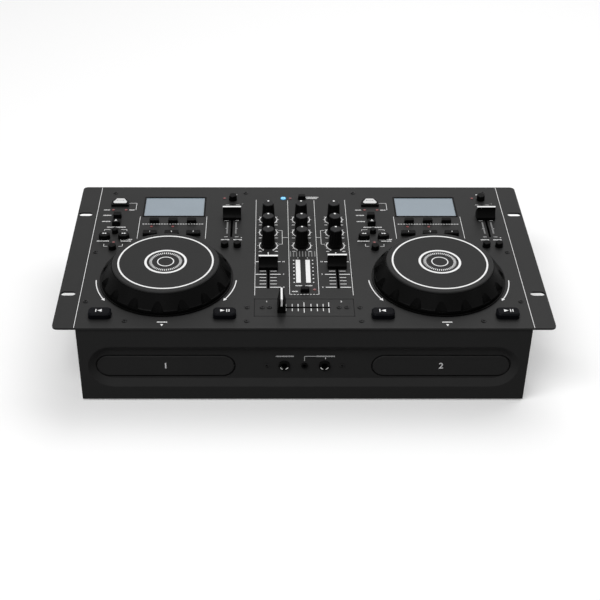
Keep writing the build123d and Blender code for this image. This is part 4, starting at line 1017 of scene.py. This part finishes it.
# ------------------------------------------------------------------ the mixer between them
@dataclass
class Mixer:
    """The knobs, faders, keys and lamps between the decks, with their print."""

    middle_x: float = 0.6
    outer_lines_x: Span = (-47.9, 49.7)
    outer_lines_y: Span = (-78.0, 105.0)
    inner_lines_x: Span = (-13.2, 15.8)
    inner_lines_y: Span = (-76.6, 104.0)
    source_labels: tuple[Row, ...] = ((13.5, 111.0, 15.0), (13.5, 108.4, 12.0))
    bracket_x: float = 20.4
    bracket_reach: float = 4.0
    bracket_y: Span = (42.0, 15.0)
    bracket_link_y: float = 28.0
    column_mark_x: float = 35.1
    column_mark_spread: float = 1.4
    column_mark_y: Span = (94.8, 96.6)
    edge_line_gap: float = 1.3
    knob_cap_depth: float = 5.0
    knob_dot_y: float = 3.9
    knob_dot_radius: float = 1.1
    knob_scale_ends: Span = (-60.0, 240.0)
    knob_scale_steps: int = 10
    knob_scale_radii: Span = (9.8, 11.3)
    knob_arcs: tuple[Span, ...] = ((-60.0, 40.0), (140.0, 240.0))
    knob_arc_width: float = 0.9
    knob_end_label_x: float = 8.4
    knob_label_y: float = 12.9
    knob_label_height: float = 1.3
    channel_x: Span = (-34.6, 35.6)
    channel_mark_y: Span = (-4.5, -0.8)
    channel_scale_y: Span = (-64.2, -18.2)
    channel_steps: int = 8
    channel_number_x: float = 15.6
    channel_tick_x: float = 2.4
    channel_short_tick: Span = (8.2, 0.7)
    channel_long_tick: Span = (12.2, 1.0)
    meter_dots_x: Span = (-8.4, 11.0)
    meter_dots_y: Span = (-15.5, -55.5)
    meter_dots: int = 7
    meter_dot_side: float = 1.3
    meter_labels: tuple[Row, ...] = ((-4.0, -61.5, 7.0), (6.2, -61.5, 7.0), (-8.0, -71.6, 6.0))
    meter_tops: tuple[Point, ...] = ((-4.0, -11.2), (6.0, -11.2))
    meter_bars: int = 9
    meter_bar_x: float = -11.5
    meter_bar_pitch: float = 3.15
    meter_bar_y: Span = (-8.0, 1.0)
    cross_ticks_x: tuple[float, ...] = (-23.3, -17.2, -11.1, -5.3, 0.5, 7.3, 13.4, 19.2, 24.7)
    cross_tick_y: float = 1.9
    cross_crest_width: float = 1.9
    cross_number_inset: float = 12.0
    cross_number_y: float = 10.0
    plate: float = field(init=False)

    def __post_init__(self) -> None:
        """Takes the plate's height from the frame."""
        self.plate = Extent.of("top_plate").high.z

    def build(self) -> None:
        """Builds and dresses everything on the mixer."""
        self._knobs()
        self._faders()
        self._print_frame()
        self._print_edges()
        self._print_channels()
        self._print_crossfader()
        for key in ("source_key", "cue_select_key"):
            dress(key, Finishes.key)

    def _knobs(self) -> None:
        """Dresses the nine knobs, dots their caps and prints their scales."""
        scale = ink_on(self.plate)
        inner, outer = self.knob_scale_radii
        first, last = self.knob_scale_ends
        steps = self.knob_scale_steps
        angles = [first + (last - first) * index / steps for index in range(steps + 1)]
        for node in sorted(name for name in frame["nodes"] if name.endswith("_knob")):
            box = Extent.of(node)
            x, y, top = box.middle.x, box.middle.y, box.high.z
            cap_low = top - self.knob_cap_depth
            recast(node, [Finishes.knob, Finishes.knob_top],
                   lambda part, top=top, low=cap_low: int(part.high.z > top - 0.1 and part.low.z > low))
            dot = ink_on(top).disc(x, y + self.knob_dot_y, self.knob_dot_radius)
            dot.piece(f"{node}_dot", body_of(node), Finishes.ink, slot_of(node))
            scale.fan(x, y, inner, outer, angles)
            for start, end in self.knob_arcs:
                scale.ring(x, y, inner - self.knob_arc_width, inner, start, end)
            for label_x in (x + self.knob_end_label_x, x - self.knob_end_label_x):
                scale.strokes(label_x, y - outer + 0.4, 3.4, self.knob_label_height)
            scale.strokes(x, y + self.knob_label_y, 5.6, self.knob_label_height)
        scale.piece("knob_scales", "console", Finishes.ink, "plate_steel")

    def _faders(self) -> None:
        """Dresses the three mixer faders and lays their crests."""
        for node in ("left_channel_cap", "right_channel_cap"):
            dress(node, Finishes.cap)
            lay_crest(node, f"{node}_crest", Extent.of(node).middle.x)
        dress("crossfader_cap", Finishes.cap)
        box = Extent.of("crossfader_cap")
        x, y, top = box.middle.x, box.middle.y, box.high.z
        line = Shape(top - 1.0, top + 0.1).bar(x, y, self.cross_crest_width, box.size.y + 0.1)
        line.layer(top - 8.0, top - 0.6).bar(x, box.low.y, self.cross_crest_width, 0.3)
        line.piece("crossfader_crest", body_of("crossfader_cap"), Finishes.crest, "fader_plastic")

    def _print_frame(self) -> None:
        """Prints the long lines, the brackets and the marks above the first knobs."""
        ink = ink_on(self.plate)
        for lines_x, (low, high) in ((self.outer_lines_x, self.outer_lines_y),
                                     (self.inner_lines_x, self.inner_lines_y)):
            for x in lines_x:
                ink.path((x, low), (x, high))
        left, right = self.inner_lines_x
        ink.dashes((left + right) / 2, self.inner_lines_y[0], right - left, 9, (2.0, 0.6))
        rear, front = self.bracket_y
        for side, line in ((-1, left), (1, right)):
            x = self.middle_x + side * self.bracket_x
            reach = x + side * self.bracket_reach
            ink.path((reach, rear), (x, rear), (x, front), (reach, front))
            ink.path((x, self.bracket_link_y), (line, self.bracket_link_y))
            for shift in (-self.column_mark_spread, self.column_mark_spread):
                mark_x = self.middle_x + side * self.column_mark_x + shift
                ink.path(*((mark_x, y) for y in self.column_mark_y), width=0.9)
        for label in self.source_labels:
            ink.strokes(*label)
        ink.piece("mixer_frame_print", "console", Finishes.ink, "plate_steel")

    def _print_edges(self) -> None:
        """Prints the two lines of the plate that stand over the sides of the case."""
        ink, plate = ink_on(self.plate), Extent.of("top_plate")
        reach = Extent.of("chassis_tub").size.x / 2 + self.edge_line_gap
        for x in (-reach, reach):
            ink.path((x, plate.low.y + 1.0), (x, plate.high.y - 1.0), width=0.5)
        ink.piece("plate_edge_lines", "console", Finishes.ink, "plate_steel")

    def _print_channels(self) -> None:
        """Prints the scales of the channel faders and the meters."""
        ink = ink_on(self.plate)
        low, high = self.channel_scale_y
        for x in self.channel_x:
            ink.path(*((x, y) for y in self.channel_mark_y), width=0.9)
            for index in range(self.channel_steps + 1):
                y = low + (high - low) * index / self.channel_steps
                wide = index % 4 == 0
                if wide:
                    number = str(index * 10 // self.channel_steps)
                    ink.digits(number, x + math.copysign(self.channel_number_x, -x), y, 2.0)
                reach, width = self.channel_long_tick if wide else self.channel_short_tick
                for side in (-1, 1):
                    ink.path((x + side * self.channel_tick_x, y), (x + side * reach, y), width=width)
        rear, front = self.meter_dots_y
        for index in range(self.meter_dots):
            for x in self.meter_dots_x:
                ink.bar(x, rear + (front - rear) * index / (self.meter_dots - 1), self.meter_dot_side,
                        self.meter_dot_side)
        for label in self.meter_labels:
            ink.strokes(*label)
        for x, y in self.meter_tops:
            ink.disc(x, y, 0.5)
        ink.piece("channel_print", "console", Finishes.ink, "plate_steel")
        bars = ink_on(self.plate)
        for index in range(self.meter_bars):
            x = self.meter_bar_x + index * self.meter_bar_pitch
            bars.path(*((x, y) for y in self.meter_bar_y), width=1.1)
        bars.piece("meter_bars", "console", Finishes.ink_grey, "plate_steel")

    def _print_crossfader(self) -> None:
        """Prints the crossfader's scale on its own plate, and a dark band of painted shade round that plate,
        where the gap round it lies in shadow.
        """
        box = Extent.of("crossfader_plate")
        ink, middle = ink_on(box.high.z), box.middle.y
        for index, x in enumerate(self.cross_ticks_x):
            reach = 5.6 if index % 4 else 8.2
            for side in (-1, 1):
                ink.path((x, middle + side * self.cross_tick_y), (x, middle + side * reach), width=0.7)
        inset = self.cross_number_inset
        for x, mark in ((box.low.x + inset, "1"), (box.high.x - inset, "2")):
            ink.digits(mark, x, middle + self.cross_number_y, 2.4)
        ink.piece("crossfader_print", "console", Finishes.ink, "plate_steel")
        # painted shade: a thin black band along the gap round the crossfader plate, standing for the shadow
        # in that gap
        painted_gap_shade = ink_on(self.plate)
        left, right, front, rear = box.low.x, box.high.x, box.low.y, box.high.y
        painted_gap_shade.path((left, front), (left, rear), (right, rear), (right, front), (left, front), width=0.9)
        painted_gap_shade.piece("crossfader_plate_gap_shade", "console", Finishes.trim, "plate_steel")


# ------------------------------------------------------------------ case, front and rear
@dataclass
class Case:
    """The plate, the tub under it, and what is fixed to the front, the rear and the inside."""

    blue_lamp: Point = (-18.0, 108.4)
    blue_ring_shares: Span = (0.2, 0.36)
    window_depth: float = 20.0
    upward_heads: float = 88.0
    front_head_width: float = 6.0
    # size and height of the painted shade cross on each screw head
    cross_size: Point = (2.8, 0.7)
    cross_height: float = 0.02
    phono_plate_height: float = 42.0
    phono_rise: float = 11.0
    phono_radius: float = 4.15
    phono_bore_radius: float = 1.6
    phono_ring_radius: float = 6.0
    phono_sleeve_length: float = 7.1
    lid_drop: float = 2.5
    lid_share: float = 0.92
    lid_depth: float = 0.4
    lid_outline: tuple[Point, ...] = (
        (-0.82, 0.0), (0.82, 0.0), (1.0, 0.14), (0.98, 0.38), (0.78, 0.62), (0.62, 0.9), (0.5, 1.0),
        (-0.5, 1.0), (-0.62, 0.9), (-0.78, 0.62), (-0.98, 0.38), (-1.0, 0.14))
    lid_mark_share: float = 0.62
    lid_mark_x: float = 3.2
    lid_mark_end_x: float = 3.6
    recess_depth: float = 5.0
    door_mark_height: float = 7.0
    # inner and outer reach of the painted shade band round each door
    door_seam: Span = (0.6, 1.5)
    jack_labels: tuple[tuple[float, float, float, float], ...] = ((-18.3, 51.5, 17.8, 1.5),
                                                                  (21.3, 51.5, 18.8, 1.5))
    jack_line: tuple[Point, ...] = ((1.0, 46.0), (1.0, 51.5), (11.5, 51.5))
    jack_tick: tuple[Point, ...] = ((21.5, 50.0), (21.5, 48.4))
    large_nut_width: float = 8.0
    contact_radii: Span = (3.6, 4.5)
    contact_starts: Span = (205.0, 290.0)
    contact_turn: float = 45.0

    def build(self) -> None:
        """Dresses the fixed pieces and prints the front."""
        for node, finish in {"top_plate": Finishes.plate, "crossfader_plate": Finishes.plate,
                             "chassis_tub": Finishes.case, "front_panel": Finishes.front,
                             "display_bezels": Finishes.trim, "jog_bases": Finishes.trim,
                             "feet": Finishes.foot, "display_screens": Finishes.screen,
                             "screws": Finishes.screw, "power_rocker": Finishes.rocker}.items():
            dress(node, finish)
        self._ports_and_lamps()
        self._connectors()
        self._inside()
        self._screw_crosses()
        self._print_front()

    def _screw_crosses(self) -> None:
        """Lays a dark cross of painted shade, standing for the shadowed cross recess, on the head of each
        screw that faces up or to the front.
        """
        # painted shade: flat dark crosses on the screw heads, standing for the shadow in their cross recesses
        up, ahead = Shape(), Shape()
        for box in boxes_in("screws"):
            x, y, z = box.middle
            for turn in (20.0, 110.0):
                if box.high.z > self.upward_heads:
                    up.layer(box.high.z - PRINT_SINK, box.high.z + self.cross_height)
                    up.bar(x, y, *self.cross_size, turn)
                elif box.size.x < self.front_head_width:
                    ahead.layer(-box.low.y - PRINT_SINK, -box.low.y + self.cross_height)
                    ahead.bar(x, z, *self.cross_size, turn)
        up.piece("plate_screw_recess_shade", "console", Finishes.socket, "plate_steel")
        ahead.moved(UPRIGHT).piece("front_screw_recess_shade", "console", Finishes.socket, "plate_steel")

    def _lamp_finish(self, box: Extent) -> int:
        """Picks the window, the blue lamp or the red lamp finish by size and place.

        Args:
            box: Box of the lamp or window.

        Returns:
            The place of its finish among red, blue and window.
        """
        if box.size.y > self.window_depth:
            return 2
        x, y = self.blue_lamp
        return int(abs(box.middle.x - x) < 2 and abs(box.middle.y - y) < 2)

    def _ports_and_lamps(self) -> None:
        """Dresses the hoods with their pale lids, the lamps and the meter windows."""
        dress("usb_ports", Finishes.trim)
        base = Extent.of("usb_ports").high.z - self.lid_drop
        lids = [box for box in boxes_in("usb_ports") if box.low.z > base]
        for side, box in zip(Side, sorted(lids, key=lambda box: box.middle.x)):
            self._lid(side, box)
        recast("indicator_lights", [Finishes.red_lamp, Finishes.blue_lamp, Finishes.window],
               self._lamp_finish)
        blue = next(box for box in boxes_in("indicator_lights") if self._lamp_finish(box) == 1)
        inner, outer = (blue.size.x * share for share in self.blue_ring_shares)
        core = ink_on(blue.high.z).ring(blue.middle.x, blue.middle.y, inner, outer)
        core.piece("blue_lamp_ring", "console", Finishes.blue_core, "plate_steel")

    def _lid(self, side: Side, box: Extent) -> None:
        """Lays the pale inset on a hood's lid, and the grey mark in it.

        Args:
            side: The deck that the hood belongs to.
            box: Box of the lid.
        """
        x, top = box.middle.x, box.high.z + PRINT_HEIGHT
        width, depth = box.size.x * self.lid_share, box.size.y * self.lid_share
        front = box.middle.y - depth / 2
        inset = Shape(box.high.z - self.lid_depth, top)
        inset.slab((x + u * width / 2, front + v * depth) for u, v in self.lid_outline)
        inset.piece(f"{side.value}_lid_inset", "console", Finishes.lid, "port_plastic")
        y = front + depth * self.lid_mark_share
        mark = ink_on(top).path((x - self.lid_mark_x, y), (x + self.lid_mark_x, y), width=0.5)
        mark.triangle(x + self.lid_mark_end_x, y, 1.0, 0).disc(x - self.lid_mark_end_x, y, 0.8)
        mark.piece(f"{side.value}_lid_mark", "console", Finishes.ink_grey, "port_plastic")

    def _connectors(self) -> None:
        """Dresses the front jacks and the rear connectors, and rings each phono jack with its colour."""
        for node in ("front_jacks", "rear_connectors"):
            dress(node, Finishes.socket)
        rings = {Finishes.red_ring: Shape(), Finishes.pale_ring: Shape()}
        sleeves = Shape()
        bore, radius = self.phono_bore_radius, self.phono_radius
        for box in boxes_in("rear_connectors"):
            if box.size.z <= self.phono_plate_height - 1:
                continue
            x, tip = box.middle.x, box.high.y
            face = tip - self.phono_sleeve_length
            for shift, ring in zip((self.phono_rise, -self.phono_rise), rings.values()):
                y = -(box.middle.z + shift)
                ring.layer(face - PRINT_SINK, face + 0.5).ring(x, y, radius + 0.1, self.phono_ring_radius)
                sleeves.layer(face, tip + 0.05).ring(x, y, radius - 0.4, radius + 0.05)
                sleeves.layer(tip - 0.3, tip + 0.05).ring(x, y, bore, bore + 0.5)
        for finish, ring in rings.items():
            ring.moved(BACKWARD).piece(finish.name + "s", "console", finish, "connector_metal")
        sleeves.moved(BACKWARD).piece("phono_sleeves", "console", Finishes.plated, "connector_metal")

    def _inside(self) -> None:
        """Dresses the boards and the loaders; a thin wide box is a board, and a slim one a rod."""
        recast("control_boards", [Finishes.socket, Finishes.board],
               lambda box: int(min(box.size) < 2.5 and max(box.size) > 60))
        recast("disc_loaders", [Finishes.loader, Finishes.plated],
               lambda box: int(max(box.size.x, box.size.z) < 4.5))

    def _print_front(self) -> None:
        """Prints numbers on the doors, a dark band of painted shade round them where their gaps lie in
        shadow, and the rows and lines above the jacks.
        """
        ink = ink_on(-Extent.of("front_panel").low.y - self.recess_depth)
        # painted shade: dark bands round the doors, wider than their gaps, standing for the shadow in those
        # gaps
        door_gap_shade = Shape(ink.low, ink.high)
        for number, side in enumerate(Side, start=1):
            door = Extent.of(f"{side.value}_tray_door")
            mark = ink_on(-door.low.y)
            mark.digits(str(number), door.middle.x, door.middle.z, self.door_mark_height).moved(UPRIGHT)
            mark.piece(f"{side.value}_door_number", f"{side.value}_tray", Finishes.ink, "door_plastic")
            door_gap_shade.hoop(door, *self.door_seam)
        door_gap_shade.moved(UPRIGHT).piece("door_gap_painted_shade", "console", Finishes.socket, "front_steel")
        for label in self.jack_labels:
            ink.strokes(*label)
        ink.path(*self.jack_line).path(*self.jack_tick, width=0.7)
        ink.moved(UPRIGHT).piece("jack_print", "console", Finishes.ink, "front_steel")
        self._jack_contacts()

    def _jack_contacts(self) -> None:
        """Lays the bright spring contacts that show in the mouths of the two large jacks."""
        nuts = [box for box in boxes_in("front_jacks") if box.size.x > self.large_nut_width]
        arcs = ink_on(-min(box.low.y for box in nuts))
        for box in nuts:
            for start in self.contact_starts:
                arcs.ring(box.middle.x, box.middle.z, *self.contact_radii, start, start + self.contact_turn)
        arcs.moved(UPRIGHT).piece("jack_contacts", "console", Finishes.plated, "front_steel")


# ------------------------------------------------------------------ studio
@dataclass(frozen=True)
class SoftBox:
    """A soft studio lamp, in metres and watts."""

    name: str
    place: Corner
    target: Corner
    width: float
    depth: float
    power: float

    def build(self) -> None:
        """Hangs the lamp and points it."""
        data = bpy.data.lights.new(self.name, "AREA")
        data.shape = "RECTANGLE"
        data.size = self.width
        data.size_y = self.depth
        data.energy = self.power
        lamp = placed(self.name, data)
        lamp.location = self.place
        aim = Vector(self.target) - Vector(self.place)
        lamp.rotation_euler = aim.to_track_quat("-Z", "Y").to_euler()


@dataclass
class Studio:
    """The pale floor, the soft lamps and the camera at the photograph's angle."""

    camera_place: Corner = (-0.03369, -1.10165, 0.80861)
    camera_turn: Corner = (53.585, -0.157, -0.191)
    lens: float = 75.85
    sensor: float = 36.0
    shift: Span = (0.0425, 0.0415)
    sight: Span = (0.01, 50.0)
    floor_reach: float = 6.0
    floor_seen: Colour = (0.84, 0.84, 0.84)
    floor_bounce: Colour = (0.12, 0.12, 0.12)
    floor_lift: float = 0.16
    sky: float = 0.1
    boxes: tuple[SoftBox, ...] = (
        SoftBox("overhead", (0.6, 0.9, 2.0), (0.0, 0.0, 0.0), 2.4, 1.4, 34.0),
        SoftBox("front_top", (-0.8, -1.15, 2.4), (0.0, 0.0, 0.0), 2.0, 0.9, 42.0),
        SoftBox("left_fill", (-2.1, -1.2, 0.9), (0.0, 0.0, 0.05), 1.2, 1.0, 8.0),
        SoftBox("right_fill", (2.1, -1.2, 0.9), (0.0, 0.0, 0.05), 1.2, 1.0, 5.0),
    )

    def build(self) -> None:
        """Sets the stage."""
        for box in self.boxes:
            box.build()
        self._floor()
        self._world()
        self._camera()
        bpy.context.scene.view_settings.view_transform = "Standard"

    def _seen(self, sheet: NodeSheet) -> bpy.types.NodeSocket:
        """Marks the rays by which the camera sees a surface, straight, mirrored or through glass.

        Args:
            sheet: The node tree that asks.

        Returns:
            The socket that is 1 for such a ray.
        """
        light = sheet.add("ShaderNodeLightPath")
        through = sheet.maths("MAXIMUM", light.outputs["Is Glossy Ray"], light.outputs["Is Transmission Ray"])
        return sheet.maths("MAXIMUM", light.outputs["Is Camera Ray"], through)

    def _floor(self) -> None:
        """Lays the floor, which keeps the console's shadow."""
        mesh = bmesh.new()
        bmesh.ops.create_grid(mesh, x_segments=8, y_segments=8, size=self.floor_reach)
        data = bpy.data.meshes.new("floor")
        mesh.to_mesh(data)
        mesh.free()
        material = bpy.data.materials.new("studio_floor")
        material.use_nodes = True
        material.node_tree.nodes.clear()
        sheet = NodeSheet(material.node_tree)
        seen = self._seen(sheet)
        diffuse = sheet.add("ShaderNodeBsdfDiffuse")
        sheet.join(sheet.blend(seen, self.floor_bounce, self.floor_seen), diffuse.inputs["Color"])
        lift = sheet.add("ShaderNodeEmission")
        sheet.join(sheet.maths("MULTIPLY", seen, self.floor_lift), lift.inputs["Strength"])
        both = sheet.add("ShaderNodeAddShader")
        sheet.join(diffuse.outputs[0], both.inputs[0])
        sheet.join(lift.outputs[0], both.inputs[1])
        sheet.join(both.outputs[0], sheet.add("ShaderNodeOutputMaterial").inputs["Surface"])
        data.materials.append(material)
        placed("floor", data)

    def _world(self) -> None:
        """Fills the room with even light, white where the camera sees it."""
        world = bpy.data.worlds.new("studio_room")
        bpy.context.scene.world = world
        world.use_nodes = True
        sheet = NodeSheet(world.node_tree)
        room = world.node_tree.nodes["Background"]
        room.inputs["Color"].default_value = (1.0, 1.0, 1.0, 1.0)
        lifted = sheet.maths("MULTIPLY", self._seen(sheet), 1.0 - self.sky)
        sheet.join(sheet.maths("ADD", lifted, self.sky), room.inputs["Strength"])

    def _camera(self) -> None:
        """Places the camera."""
        data = bpy.data.cameras.new("photo_camera")
        data.lens = self.lens
        data.sensor_width = self.sensor
        data.shift_x, data.shift_y = self.shift
        data.clip_start, data.clip_end = self.sight
        camera = placed("photo_camera", data)
        camera.location = self.camera_place
        camera.rotation_euler = Euler([math.radians(angle) for angle in self.camera_turn], "XYZ")
        bpy.context.scene.camera = camera


def main() -> None:
    """Builds the console's looks and the studio."""
    logging.basicConfig(level=logging.INFO, format="%(name)s: %(message)s")
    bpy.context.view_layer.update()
    Studio().build()
    Case().build()
    Mixer().build()
    for side in Side:
        Deck(side).build()


if __name__ == "__main__":
    main()
